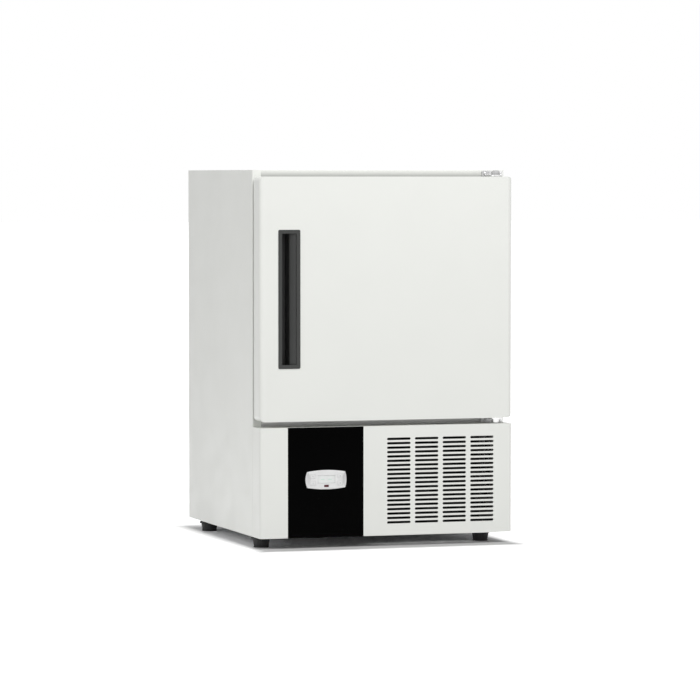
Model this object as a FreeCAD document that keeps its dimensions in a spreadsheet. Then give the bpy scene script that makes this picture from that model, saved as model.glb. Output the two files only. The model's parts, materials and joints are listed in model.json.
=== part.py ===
# Blast chiller: free-standing cabinet with one insulated door over a machine compartment.
# The origin is on the floor, under the middle of the cabinet. The door faces -Y, Z is up, sizes in mm.
import FreeCAD
import Part
import Sketcher
import math
import os
import re
from FreeCAD import Placement, Rotation, Vector

DIMENSIONS = {
    # cabinet outside
    "bodyWidth": 600,
    "bodyDepth": 596,  # door face to rear edge
    "bodyHeight": 850,
    "footHeight": 25,
    "sheet": 1.2,  # outer steel
    "sideFlange": 20,  # return fold of the side panels, front and rear
    "foldRadius": 2.5,
    "topStrip": 14.5,  # cabinet front that shows above the door
    "grilleSetback": 16,
    # lower front panel
    "panelHeight": 248,
    "doorProud": 60,  # door and lower panel stand this far in front of the cabinet
    "panelSheet": 1.5,
    "panelRadius": 8,
    "slotRows": 20,
    "slotColumns": 4,
    "slotHeight": 5.5,
    "slotLength": 56.2,
    "slotRowPitch": 9.95,
    "slotColumnPitch": 66.5,
    "slotInset": 45.3,  # last column's right end from the right edge
    "slotDrop": 29.6,  # middle of the top row below the panel's top
    "returnFlange": 15,
    # control band
    "bandInset": 64.8,  # from the left edge
    "bandWidth": 178.2,
    "fasciaThick": 3,
    "controllerDrop": 118,  # below the panel's top
    "controllerProud": 6,  # with its keys
    "controllerWidth": 88.8,  # between the corners
    "controllerHeight": 36.5,
    "endBulge": 3.8,
    "edgeBulge": 3.5,
    "housingWidth": 84,
    "housingHeight": 30,
    "housingDepth": 50,
    "displayWidth": 40,
    "displayHeight": 17,
    "keyWidth": 11,
    "keyHeight": 9,
    "keySpread": 32,  # key middles from the controller's middle
    "keyRise": 8,
    "indicatorWidth": 10.5,
    "indicatorHeight": 5,
    "indicatorDrop": 14,
    "keyProud": 0.6,
    "keyGap": 0.3,
    "bezelRound": 2,
    "bezelWall": 2,
    # insulated box
    "sideWall": 60,
    "rearWall": 55,
    "floorWall": 57,
    "topWall": 58,
    "linerSheet": 1,
    "chamberRadius": 15,
    # door
    "doorGap": 13.5,  # between lower panel and door
    "doorSlab": 50,
    "doorFrontRadius": 12,
    "doorRearRadius": 3,
    "hingeSideRadius": 18,  # rear edge that swings past the cabinet
    "doorCorner": 12,
    "doorLip": 20,
    "embossInset": 72,
    "embossRise": 6,
    "gasketWidth": 16,
    "gasketInset": 38,
    # door grip
    "gripLeft": 42.8,  # from the door's left edge
    "gripWidth": 51.2,
    "gripLength": 311,
    "gripRise": 119,  # above the door's lower edge
    "gripFlange": 1.2,
    "gripBorder": 8.4,
    "gripDepth": 34,
    "gripWall": 2,
    "gripUndercut": 3,
    "channelWidth": 17,
    "rampDepth": 8,  # ramp's low side, beside the channel
    # hinges
    "hingeInset": 34,
    "hingeSetback": 20,
    "pinRadius": 4,
    "pinDepth": 12,
    "bushRadius": 8,
    "hingePlate": 3,
    "hingeGap": 0.5,
    "hingeWidth": 50,
    "tongueWidth": 28,
    "capRadius": 10,
    "capRound": 6,
    "legOverhang": 16,  # hinge plate beyond its tongue, on the hinge side
    "screwRadius": 3.5,
    "screwHead": 2.5,
    "bossRadius": 9,
    # feet
    "footTopRadius": 23.5,
    "footBaseRadius": 17.5,
    "footLeftInset": 24,
    "footRightInset": 51,
    "footFrontSetback": 73,  # from the door face
    "footRearSetback": 500,
    "studRadius": 5,
    "footTravel": 15,
    "nutSize": 17,
    "nutHeight": 8,
    "baseSheet": 2,
    "trayRim": 16,
    # runner racks
    "rackPitch": 78,
    "rackFirst": 42,  # first runner above the chamber floor
    "rackHeadroom": 68,  # least height over the top runner
    "rackFrontGap": 28,  # front upright behind the cabinet front
    "rackRearGap": 18,  # rear upright in front of the evaporator cover
    "rackWire": 8,
    "runnerWire": 6,
    "rackGap": 16,  # wall to the upright's far side
    "panWidth": 354,
    "runnerOverlap": 14,
    # evaporator
    "coverSetback": 100,  # cover in front of the chamber's rear wall plus the coil bay
    "coverHalf": 205,
    "coverFold": 24,
    "fanRadius": 98,
    "fanClearance": 5,
    "fanHub": 26,
    "fanDepth": 20,
    "shaftRadius": 3,
    "shaftSeat": 20,  # length inside the motor
    "motorRadius": 38,
    "motorLength": 32,
    "armReach": 14,  # motor arms beyond the fan opening
    "armWidth": 14,
    "armThick": 3,
    "coilHalf": 185,
    "coilDepth": 50,
    "coilMargin": 35,
    "finPitch": 9,
    "finGroove": 6,
    # condenser
    "condenserInset": 50,  # from the right edge
    "condenserWidth": 250,
    "condenserHeight": 230,
    "condenserDepth": 48,
    "condenserSetback": 92,  # behind the lower panel's face
    "shroudDepth": 18,
    # compressor
    "compressorInset": 170,  # from the right edge
    "compressorSetback": 181,  # from the rear edge
    "compressorRadius": 82,
    "compressorHeight": 186,
    "grommetHeight": 15,
    "compressorPlate": 3,
    "mountSpread": 70,
    "plateMargin": 18,  # base plate beyond the grommets
    "grommetRadius": 13,
    "grommetNeck": 7,
    "grommetHead": 11,
    "terminalWidth": 50,
    "terminalDepth": 30,
    "terminalHeight": 58,
    "terminalRise": 30,
    # pipes
    "gasPipe": 4,
    "suctionPipe": 6,
    "pipeWall": 1,
    "drainPipe": 8,
    "holeClearance": 0.2,
    "driersRadius": 15,
    "drierLength": 110,
    # electrical box
    "boxInset": 44,  # from the left edge
    "boxGap": 56,  # to the condenser, for its return bends and the liquid pipe
    "boxDepth": 110,
    "boxHeight": 225,
    "coverRim": 12,
    # rear grille and cord gland
    "grilleColumns": 26,
    "grilleRows": 2,
    "grilleSlotWidth": 5,
    "grilleSlotHeight": 80,
    "grilleColumnPitch": 14,
    "grilleRowPitch": 105,
    "grilleInset": 140,  # first slot from the left edge
    "grilleRise": 30,
    "glandInset": 70,  # from the left edge
    "glandRise": 50,
    "glandRadius": 8,
    "glandFlange": 12,
    "glandBore": 4.5,
    "glandReach": 12,  # neck beyond the grille, inside and outside
}

PLACES = {
    "halfW": "bodyWidth / 2",
    "doorFace": "(controllerProud - bodyDepth) / 2",
    "rear": "(controllerProud + bodyDepth) / 2",
    "cabFront": "doorFace + doorProud",
    "panelTop": "footHeight + panelHeight",
    "doorLow": "panelTop + doorGap",
    "doorHigh": "bodyHeight - topStrip",
    "doorBack": "doorFace + doorSlab",
    "innerHalf": "halfW - sheet",
    "chamberHalf": "halfW - sideWall",
    "chamberRear": "rear - rearWall",
    "chamberLow": "panelTop + floorWall",
    "chamberHigh": "bodyHeight - topWall",
    "hingeX": "halfW - hingeInset",
    "hingeY": "doorFace + hingeSetback",
    "baseTop": "footHeight + baseSheet",
    "footLeftX": "-halfW + footLeftInset",
    "footRightX": "halfW - footRightInset",
    "footFront": "doorFace + footFrontSetback",
    "footRear": "doorFace + footRearSetback",
    "slotLeft": "halfW - slotInset - slotLength - (slotColumns - 1) * slotColumnPitch",
    "slotTop": "panelTop - slotDrop",
    "bandLeft": "-halfW + bandInset",
    "bandRight": "bandLeft + bandWidth",
    "controllerX": "bandLeft + bandWidth / 2",
    "controllerZ": "panelTop - controllerDrop",
    "bandFace": "doorFace + fasciaThick",
    "housingLeft": "controllerX - housingWidth / 2",
    "housingRight": "controllerX + housingWidth / 2",
    "housingLow": "controllerZ - housingHeight / 2",
    "housingHigh": "controllerZ + housingHeight / 2",
    "keyFace": "doorFace - controllerProud",
    "bezelFace": "keyFace + keyProud",
    "gripX": "-halfW + gripLeft",
    "gripLow": "doorLow + gripRise",
    "gripEnd": "gripX + gripWidth",
    "gripHigh": "gripLow + gripLength",
    "coverFront": "chamberRear - coilDepth - coverSetback + 5",
    "rackFront": "cabFront + rackFrontGap",
    "rackRear": "coverFront - rackRearGap",
    "fanZ": "(chamberLow + chamberHigh) / 2",
    "fanY": "coverFront + 14",
    "coilRear": "chamberRear - chamberRadius - 5",
    "coilFront": "coilRear - coilDepth",
    "grilleFace": "rear - grilleSetback",
    "glandX": "-halfW + glandInset",
    "glandZ": "baseTop + glandRise",
    "condenserLeft": "halfW - condenserInset - condenserWidth",
    "condenserFront": "doorFace + condenserSetback",
    "condenserRear": "condenserFront + condenserDepth",
    "condenserRight": "condenserLeft + condenserWidth",
    "condenserTop": "baseTop + condenserHeight",
    "condenserX": "condenserLeft + condenserWidth / 2",
    "condenserZ": "baseTop + condenserHeight / 2",
    "shroudRear": "condenserRear + shroudDepth",
    "compressorX": "halfW - compressorInset",
    "compressorY": "rear - compressorSetback",
    "plateLow": "baseTop + grommetHeight",
    "shellLow": "plateLow + compressorPlate",
    "shellTop": "shellLow + compressorHeight",
    "boxLeft": "-halfW + boxInset",
    "boxRight": "condenserLeft - boxGap",
    "boxFront": "cabFront + 8",
    "boxTop": "baseTop + boxHeight",
}

doc = FreeCAD.newDocument("BlastChiller")
dims = doc.addObject("Spreadsheet::Sheet", "Dims")
for row, (alias, size) in enumerate(DIMENSIONS.items(), start=1):
    dims.set(f"A{row}", alias)
    dims.set(f"B{row}", str(size))
    dims.setAlias(f"B{row}", alias)
doc.recompute()

pieces = []


def formula(text):
    """The text with every place worked back to the driving sizes."""
    def cell(match):
        word = match.group(0)
        if word in PLACES:
            return f"({formula(PLACES[word])})"
        return f"Dims.{word}" if word in DIMENSIONS else word
    return re.sub(r"[A-Za-z]\w*", cell, str(text))


def value(text):
    return float(dims.evalExpression(formula(text)))


def bind(thing, **sizes):
    for name, text in sizes.items():
        thing.setExpression(name.replace("_", "."), formula(text))


def piece(label, thing):
    """Marks a finished object as one of the chiller's pieces."""
    thing.Label = label
    pieces.append(thing)
    return thing


# ---- plain solids ----

def block(name, x, y, z):
    box = doc.addObject("Part::Box", name)
    for side, axis, (low, high) in zip(("Length", "Width", "Height"), "xyz", (x, y, z)):
        bind(box, **{side: f"({high}) - ({low})", f"Placement_Base_{axis}": low})
    return box


def rod(name, axis, centre, low, high, radius):
    """A cylinder along an axis; centre gives the other two coordinates in X, Y, Z order."""
    cylinder = doc.addObject("Part::Cylinder", name)
    turn = {"x": Rotation(Vector(0, 1, 0), 90), "y": Rotation(Vector(1, 0, 0), -90), "z": Rotation()}
    cylinder.Placement = Placement(Vector(), turn[axis])
    others = iter(centre)
    spots = {a: low if a == axis else next(others) for a in "xyz"}
    bind(cylinder, Radius=radius, Height=f"({high}) - ({low})",
         **{f"Placement_Base_{a}": spot for a, spot in spots.items()})
    return cylinder


def join(name, things):
    fuse = doc.addObject("Part::MultiFuse", name)
    fuse.Shapes = things
    return fuse


def cut(name, base, tools):
    result = doc.addObject("Part::Cut", name)
    result.Base = base
    result.Tool = tools[0] if len(tools) == 1 else join(name + "_tools", tools)
    return result


def rounded(name, base, radii):
    """Rounds the straight edges that pass each test; radii is a list of (test, size) pairs."""
    doc.recompute()
    fillet = doc.addObject("Part::Fillet", name)
    fillet.Base = base
    edges = []
    for number, edge in enumerate(base.Shape.Edges, start=1):
        for test, size in radii:
            if test(edge):
                edges.append((number, value(size), value(size)))
                break
    fillet.Edges = edges
    return fillet


def along(axis):
    """A test for straight edges parallel to an axis."""
    index = "xyz".index(axis)

    def test(edge):
        if len(edge.Vertexes) != 2:
            return False
        step = edge.Vertexes[1].Point - edge.Vertexes[0].Point
        return abs(abs(step[index]) - step.Length) < 1e-6
    return test


def near(axis, text, also=None):
    """A test for edges whose middle lies at a place along an axis."""
    index, spot = "xyz".index(axis), value(text)
    return lambda edge: abs(edge.BoundBox.Center[index] - spot) < 1e-4 and (also is None or also(edge))


# ---- plates, pads and pockets ----

def plane(body, role):
    return next(feature for feature in body.Origin.OriginFeatures if feature.Role == role)


def new_body(label):
    return piece(label, doc.addObject("PartDesign::Body", label))


def sketch_on(body, role, level):
    sketch = body.newObject("Sketcher::SketchObject", body.Label + "_sketch")
    sketch.AttachmentSupport = (plane(body, role), [""])
    sketch.MapMode = "FlatFace"
    sign = "-" if role == "XZ_Plane" else ""
    bind(sketch, AttachmentOffset_Base_z=f"{sign}({level})")
    return sketch


def fix_point(sketch, edge, end, x, y):
    for kind, text in (("DistanceX", x), ("DistanceY", y)):
        number = sketch.addConstraint(Sketcher.Constraint(kind, -1, 1, edge, end, value(text)))
        sketch.setExpression(f"Constraints[{number}]", formula(text))


def polygon(sketch, points):
    """A closed outline whose corners follow the sizes."""
    spots = [Vector(value(x), value(y), 0) for x, y in points]
    first, count = sketch.GeometryCount, len(points)
    for i in range(count):
        sketch.addGeometry(Part.LineSegment(spots[i], spots[(i + 1) % count]), False)
    for i in range(count):
        sketch.addConstraint(Sketcher.Constraint("Coincident", first + i, 2, first + (i + 1) % count, 1))
    for i, (x, y) in enumerate(points):
        fix_point(sketch, first + i, 1, x, y)


def rectangle(sketch, x, y):
    polygon(sketch, [(x[0], y[0]), (x[1], y[0]), (x[1], y[1]), (x[0], y[1])])


def circle(sketch, x, y, radius):
    ring = Part.Circle(Vector(value(x), value(y), 0), Vector(0, 0, 1), value(radius))
    edge = sketch.addGeometry(ring, False)
    fix_point(sketch, edge, 3, x, y)
    number = sketch.addConstraint(Sketcher.Constraint("Radius", edge, value(radius)))
    sketch.setExpression(f"Constraints[{number}]", formula(radius))


def extrude(body, kind, sketch, length):
    """A Pad or a Pocket; either has to change the body's volume."""
    doc.recompute()
    before = body.Shape.Volume if body.Tip else 0
    feature = body.newObject("PartDesign::" + kind, f"{body.Label}_{kind}")
    feature.Profile = sketch
    bind(feature, Length=length)
    doc.recompute()
    change = feature.Shape.Volume - before
    if change * (1 if kind == "Pad" else -1) <= 0:
        raise RuntimeError(f"{feature.Name} changed the volume by {change:.1f}")
    return feature


def pad_box(body, x, y, z):
    sketch = sketch_on(body, "XY_Plane", z[0])
    rectangle(sketch, x, y)
    return extrude(body, "Pad", sketch, f"({z[1]}) - ({z[0]})")


def pocket_box(body, x, y, z):
    sketch = sketch_on(body, "XY_Plane", z[1])
    rectangle(sketch, x, y)
    return extrude(body, "Pocket", sketch, f"({z[1]}) - ({z[0]})")


def pocket_hole(body, role, x, y, radius, top, depth):
    sketch = sketch_on(body, role, top)
    circle(sketch, x, y, radius)
    return extrude(body, "Pocket", sketch, depth)


def fillet_edges(body, radius, test):
    doc.recompute()
    tip = body.Tip
    names = [f"Edge{i}" for i, edge in enumerate(tip.Shape.Edges, start=1) if test(edge)]
    fillet = body.newObject("PartDesign::Fillet", body.Label + "_fillet")
    fillet.Base = (tip, names)
    bind(fillet, Radius=radius)
    doc.recompute()
    return fillet


def repeat(body, feature, runs):
    """Repeats a feature along one or two axes; runs holds (axis role, pitch, count)."""
    pattern = body.newObject("PartDesign::MultiTransform", body.Label + "_pattern")
    steps = []
    for role, pitch, count in runs:
        line = body.newObject("PartDesign::LinearPattern", f"{body.Label}_{role}")
        line.Direction = (plane(body, role), [""])
        bind(line, Length=f"({pitch}) * (({count}) - 1)", Occurrences=count)
        steps.append(line)
    pattern.Originals = [feature]
    pattern.Transformations = steps
    body.Tip = pattern
    doc.recompute()
    return pattern


# ---- bent tubes and fans ----

def shaped(label, shape):
    thing = doc.addObject("Part::Feature", label)
    thing.Shape = shape
    return piece(label, thing)


def bent_wire(points, bend):
    """Straight runs joined by tangent arcs of one bend radius."""
    edges, start = [], points[0]
    for before, corner, after in zip(points, points[1:], points[2:]):
        inward, outward = (before - corner).normalize(), (after - corner).normalize()
        half = math.acos(max(-1, min(1, inward.dot(outward)))) / 2
        reach = bend / math.tan(half)
        a, b = corner + inward * reach, corner + outward * reach
        middle = corner + (inward + outward).normalize() * (bend / math.sin(half) - bend)
        edges += [Part.LineSegment(start, a).toShape(), Part.Arc(a, middle, b).toShape()]
        start = b
    edges.append(Part.LineSegment(start, points[-1]).toShape())
    return Part.Wire(edges)


def tube(points, radius, bend, bore=0):
    path = bent_wire(points, bend)
    heading = (points[1] - points[0]).normalize()
    solids = []
    for size in filter(None, (radius, bore)):
        ring = Part.Wire(Part.Circle(points[0], heading, size).toShape())
        solids.append(path.makePipeShell([ring], True, False))
    return solids[0].cut(solids[1]) if bore else solids[0]


def at(*texts):
    return Vector(*(value(text) for text in texts))


def rotor(label, centre, shaft_rear, blades=5, chord=34, thick=1.6, pitch=24):
    """A fan wheel on a shaft that runs along Y into the motor behind it."""
    hub, reach, depth = value("fanHub"), value("fanRadius"), value("fanDepth")
    wheel = Part.makeCylinder(hub, depth, Vector(0, -depth / 2, 0), Vector(0, 1, 0))
    rim = [edge for edge in wheel.Edges if abs(edge.BoundBox.Center.y + depth / 2) < 0.01]
    wheel = wheel.makeFillet(3, rim)
    ring = Part.makeCylinder(reach, 3 * depth, Vector(0, -1.5 * depth, 0), Vector(0, 1, 0))
    parts = []
    for i in range(blades):
        blade = Part.makeBox(chord, thick, reach, Vector(-chord / 2, -thick / 2, hub - 4))
        blade.rotate(Vector(), Vector(0, 0, 1), pitch)
        blade = blade.common(ring)
        blade.rotate(Vector(), Vector(0, 1, 0), 360 * i / blades)
        parts.append(blade)
    shaft = Part.makeCylinder(value("shaftRadius"), shaft_rear - centre.y, Vector(), Vector(0, 1, 0))
    wheel = wheel.multiFuse(parts + [shaft]).removeSplitter()
    thing = shaped(label, wheel)
    thing.Placement = Placement(centre, Rotation())
    return thing


def fan_motor(label, centre, front, mount_y):
    """A motor can whose four arms reach forward to the plate that carries it."""
    radius, length = value("motorRadius"), value("motorLength")
    arm_reach = value("fanRadius + fanClearance + armReach")
    wide, thick = value("armWidth"), value("armThick")
    can = Part.makeCylinder(radius, length, Vector(0, 0, 0), Vector(0, 1, 0))
    can = can.makeFillet(5, [edge for edge in can.Edges if abs(edge.BoundBox.Center.y - length) < 0.01])
    arms = []
    for i in range(4):
        spoke = Part.makeBox(arm_reach - radius + 6, thick, wide, Vector(radius - 6, 4, -wide / 2))
        leg = Part.makeBox(thick, front - mount_y + 4 + thick, wide,
                           Vector(arm_reach - thick, mount_y - front, -wide / 2))
        arm = spoke.fuse(leg)
        arm.rotate(Vector(), Vector(0, 1, 0), 45 + 90 * i)
        arms.append(arm)
    bore = Part.makeCylinder(value("shaftRadius") + 0.05, length - 6, Vector(0, 0, 0), Vector(0, 1, 0))
    thing = shaped(label, can.multiFuse(arms).cut(bore).removeSplitter())
    thing.Placement = Placement(Vector(centre.x, front, centre.z), Rotation())
    return thing


# ---- cabinet shell ----

def side_panel(label, side):
    """A folded side: web with equal returns at the front and rear edges."""
    web, fold = ("-halfW", "-halfW + sideFlange") if side < 0 else ("halfW", "halfW - sideFlange")
    web_inside = "-innerHalf" if side < 0 else "innerHalf"
    body = new_body(label)
    pad_box(body, (web, fold), ("cabFront", "rear"), ("footHeight", "bodyHeight"))
    pocket_box(body, (web_inside, f"{fold} - ({side * 5})"), ("cabFront + sheet", "rear - sheet"),
               ("footHeight", "bodyHeight"))
    upright, edge = along("z"), near("x", web)
    fillet_edges(body, "foldRadius", lambda e: upright(e) and edge(e))


def top_panel():
    body = new_body("top_panel")
    pad_box(body, ("-innerHalf", "innerHalf"), ("cabFront + sheet", "rear - sheet"),
            ("bodyHeight - sheet", "bodyHeight"))
    for y in (("cabFront", "cabFront + sheet"), ("rear - sheet", "rear")):
        pad_box(body, ("-halfW + sideFlange", "halfW - sideFlange"), y, ("doorHigh", "bodyHeight"))
    level, outside = along("x"), near("z", "bodyHeight")
    ends = value("(rear - cabFront) / 2")
    middle = value("(rear + cabFront) / 2")
    fillet_edges(body, "sheet / 2", lambda e: level(e) and outside(e)
                 and abs(abs(e.BoundBox.Center.y - middle) - ends) < 0.01)


def rear_panels():
    body = new_body("rear_panel")
    pad_box(body, ("-halfW + sideFlange", "halfW - sideFlange"), ("rear - sheet", "rear"),
            ("panelTop + sheet", "doorHigh"))
    grille = new_body("rear_grille")
    pad_box(grille, ("-innerHalf", "innerHalf"), ("grilleFace - sheet", "grilleFace"),
            ("baseTop", "panelTop"))
    slot = pocket_box(grille, ("-halfW + grilleInset", "-halfW + grilleInset + grilleSlotWidth"),
                      ("grilleFace - 5", "grilleFace + 5"),
                      ("baseTop + grilleRise", "baseTop + grilleRise + grilleSlotHeight"))
    repeat(grille, slot, [("X_Axis", "grilleColumnPitch", "grilleColumns"),
                          ("Z_Axis", "grilleRowPitch", "grilleRows")])
    pocket_hole(grille, "XZ_Plane", "glandX", "glandZ", "glandRadius + holeClearance", "grilleFace - 5", "10")


def base_tray():
    body = new_body("base_tray")
    sides = ("-innerHalf", "innerHalf")
    pad_box(body, sides, ("cabFront + sheet", "rear - sheet"), ("footHeight", "footHeight + trayRim"))
    pocket_box(body, ("-innerHalf + baseSheet", "innerHalf - baseSheet"), ("cabFront", "rear"),
               ("baseTop", "footHeight + trayRim + 1"))
    pocket_box(body, ("-halfW", "halfW"), ("grilleFace - sheet", "rear"),
               ("baseTop", "footHeight + trayRim + 1"))
    for x in ("footLeftX", "footRightX"):
        for y in ("footFront", "footRear"):
            pocket_hole(body, "XY_Plane", x, y, "studRadius + holeClearance", "baseTop + 1", "baseSheet + 2")


def divider_panel():
    body = new_body("divider_panel")
    pad_box(body, ("-innerHalf", "innerHalf"), ("cabFront + sheet", "rear - sheet"),
            ("panelTop", "panelTop + sheet"))
    for x, y, radius in PENETRATIONS:
        pocket_hole(body, "XY_Plane", x, y, f"{radius} + holeClearance", "panelTop + sheet + 1", "sheet + 2")


# where the pipes and the drain go up through the floor of the insulated box
PENETRATIONS = [
    ("condenserLeft - 34", "coilRear - 30", "gasPipe"),
    ("condenserLeft + 24", "coilRear - 30", "suctionPipe"),
    ("-bodyWidth / 5", "coilRear - 15", "drainPipe"),
]


def insulated_box():
    """Foam body and stainless liner share one rounded form, open at the front."""
    forms = []
    for name, wall, front in (("liner_outside", "linerSheet", "cabFront + sheet"),
                              ("liner_inside", "0", "cabFront - 5")):
        raw = block(name, (f"-chamberHalf - {wall}", f"chamberHalf + {wall}"),
                    (front, f"chamberRear + {wall}"), (f"chamberLow - {wall}", f"chamberHigh + {wall}"))
        inner = near("y", f"chamberRear + {wall}")
        forms.append(rounded(name + "_form", raw, [(along("y"), f"chamberRadius + {wall}"),
                                                   (inner, f"chamberRadius + {wall}")]))
    outside, inside = forms
    bores = [rod(f"liner_bore_{i}", "z", (x, y), "chamberLow - 10", "chamberLow + 10", f"{r} + holeClearance")
             for i, (x, y, r) in enumerate(PENETRATIONS)]
    piece("inner_liner", cut("inner_liner", outside, [inside] + bores))
    foam = block("foam_block", ("-innerHalf", "innerHalf"), ("cabFront + sheet", "rear - sheet"),
                 ("panelTop + sheet", "bodyHeight - sheet"))
    bores = [rod(f"foam_bore_{i}", "z", (x, y), "panelTop", "chamberLow", f"{r} + holeClearance")
             for i, (x, y, r) in enumerate(PENETRATIONS)]
    piece("cabinet_insulation", cut("cabinet_insulation", foam, [outside] + bores))


def front_collar():
    body = new_body("front_collar")
    sketch = sketch_on(body, "XZ_Plane", "cabFront + sheet")
    rectangle(sketch, ("-halfW + sideFlange", "halfW - sideFlange"), ("panelTop", "doorHigh"))
    rectangle(sketch, ("-chamberHalf", "chamberHalf"), ("chamberLow", "chamberHigh"))
    extrude(body, "Pad", sketch, "sheet")
    deep, inside = along("y"), value("chamberHalf")
    fillet_edges(body, "chamberRadius", lambda e: deep(e) and abs(abs(e.BoundBox.Center.x) - inside) < 0.01)


# ---- lower front panel and controls ----

def front_panel():
    body = new_body("front_panel")
    wide, high = ("-halfW", "halfW"), ("footHeight", "panelTop")
    inside = ("-halfW + panelSheet", "halfW - panelSheet")
    inside_z = ("footHeight + panelSheet", "panelTop - panelSheet")
    pad_box(body, wide, ("doorFace", "cabFront"), high)
    step = "bandFace + panelSheet"
    pocket_box(body, inside, (step, "cabFront + 1"), inside_z)
    for x in ((inside[0], "bandLeft - panelSheet"), ("bandRight + panelSheet", inside[1])):
        pocket_box(body, x, ("doorFace + panelSheet", "cabFront + 1"), inside_z)
    for radius, y, x in (("panelRadius - panelSheet", "doorFace + panelSheet", "halfW - panelSheet"),
                         ("panelRadius", "doorFace", "halfW")):  # inside first, then outside
        face, corner_x = near("y", y, along("z")), value(x)
        fillet_edges(body, radius, lambda e: face(e) and abs(abs(e.BoundBox.Center.x) - corner_x) < 0.01)
    pocket_box(body, ("-halfW + returnFlange", "halfW - returnFlange"),
               ("doorFace + returnFlange", "cabFront + 1"), ("footHeight - 1", "footHeight + panelSheet + 1"))
    pocket_box(body, ("bandLeft", "bandRight"), ("doorFace - 1", "bandFace"), high)
    pocket_box(body, HOUSING_X, ("doorFace - 1", "cabFront"), HOUSING_Z)
    sketch = sketch_on(body, "XZ_Plane", "doorFace - 1")
    slot_outline(sketch, "slotLeft", "slotTop", "slotLength", "slotHeight")
    slot = extrude(body, "Pocket", sketch, "panelSheet + 3")
    rows = repeat(body, slot, [("X_Axis", "slotColumnPitch", "slotColumns"),
                               ("Z_Axis", "slotRowPitch", "slotRows")])
    rows.Transformations[1].Reversed = True
    doc.recompute()


HOUSING_X = ("housingLeft - 0.5", "housingRight + 0.5")
HOUSING_Z = ("housingLow - 0.5", "housingHigh + 0.5")


def slot_outline(sketch, left, middle, length, height):
    """A straight slot with round ends, placed by its left end and middle height."""
    r = value(height) / 2
    x0, x1, z = value(left) + r, value(left) + value(length) - r, value(middle)
    first = sketch.GeometryCount
    quarter = math.pi / 2

    def end(x, start, stop):
        return Part.ArcOfCircle(Part.Circle(Vector(x, z, 0), Vector(0, 0, 1), r), start, stop)
    sketch.addGeometry(Part.LineSegment(Vector(x0, z + r, 0), Vector(x1, z + r, 0)), False)
    sketch.addGeometry(end(x1, -quarter, quarter), False)
    sketch.addGeometry(Part.LineSegment(Vector(x1, z - r, 0), Vector(x0, z - r, 0)), False)
    sketch.addGeometry(end(x0, quarter, -quarter), False)
    for line, line_end, arc, arc_end in ((0, 2, 1, 2), (2, 1, 1, 1), (2, 2, 3, 2), (0, 1, 3, 1)):
        sketch.addConstraint(Sketcher.Constraint("Tangent", first + line, line_end, first + arc, arc_end))
    sketch.addConstraint(Sketcher.Constraint("Horizontal", first))
    number = sketch.addConstraint(Sketcher.Constraint("Radius", first + 1, r))
    sketch.setExpression(f"Constraints[{number}]", formula(f"({height}) / 2"))
    fix_point(sketch, first + 3, 3, f"({left}) + ({height}) / 2", middle)
    number = sketch.addConstraint(Sketcher.Constraint("DistanceX", first + 3, 3, first + 1, 3, x1 - x0))
    sketch.setExpression(f"Constraints[{number}]", formula(f"({length}) - ({height})"))


def control_fascia():
    body = new_body("control_fascia")
    pad_box(body, ("bandLeft", "bandRight"), ("doorFace", "bandFace"), ("footHeight", "panelTop"))
    pocket_box(body, HOUSING_X, ("doorFace - 1", "bandFace + 1"), HOUSING_Z)


def barrel(name, x_half, z_half, end_bulge, edge_bulge, y):
    """A plate with four bowed sides about the controller's middle."""
    cx, cz = value("controllerX"), value("controllerZ")
    w, h, e, b = value(x_half), value(z_half), value(end_bulge), value(edge_bulge)
    low, high = value(y[0]), value(y[1])
    corners = [(-w, -h), (w, -h), (w, h), (-w, h)]
    crowns = [(0, -h - b), (w + e, 0), (0, h + b), (-w - e, 0)]

    def spot(p):
        return Vector(cx + p[0], low, cz + p[1])
    sides = zip(corners, crowns, corners[1:] + corners[:1])
    edges = [Part.Arc(spot(start), spot(crown), spot(end)).toShape() for start, crown, end in sides]
    return Part.Face(Part.Wire(edges)).extrude(Vector(0, high - low, 0))


def key_places():
    return {f"key_{name}": (f"controllerX + {sx} * keySpread", f"controllerZ + {sz} * keyRise")
            for name, sx, sz in (("power", -1, -1), ("cycle", -1, 1), ("down", 1, -1), ("up", 1, 1))}


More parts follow.
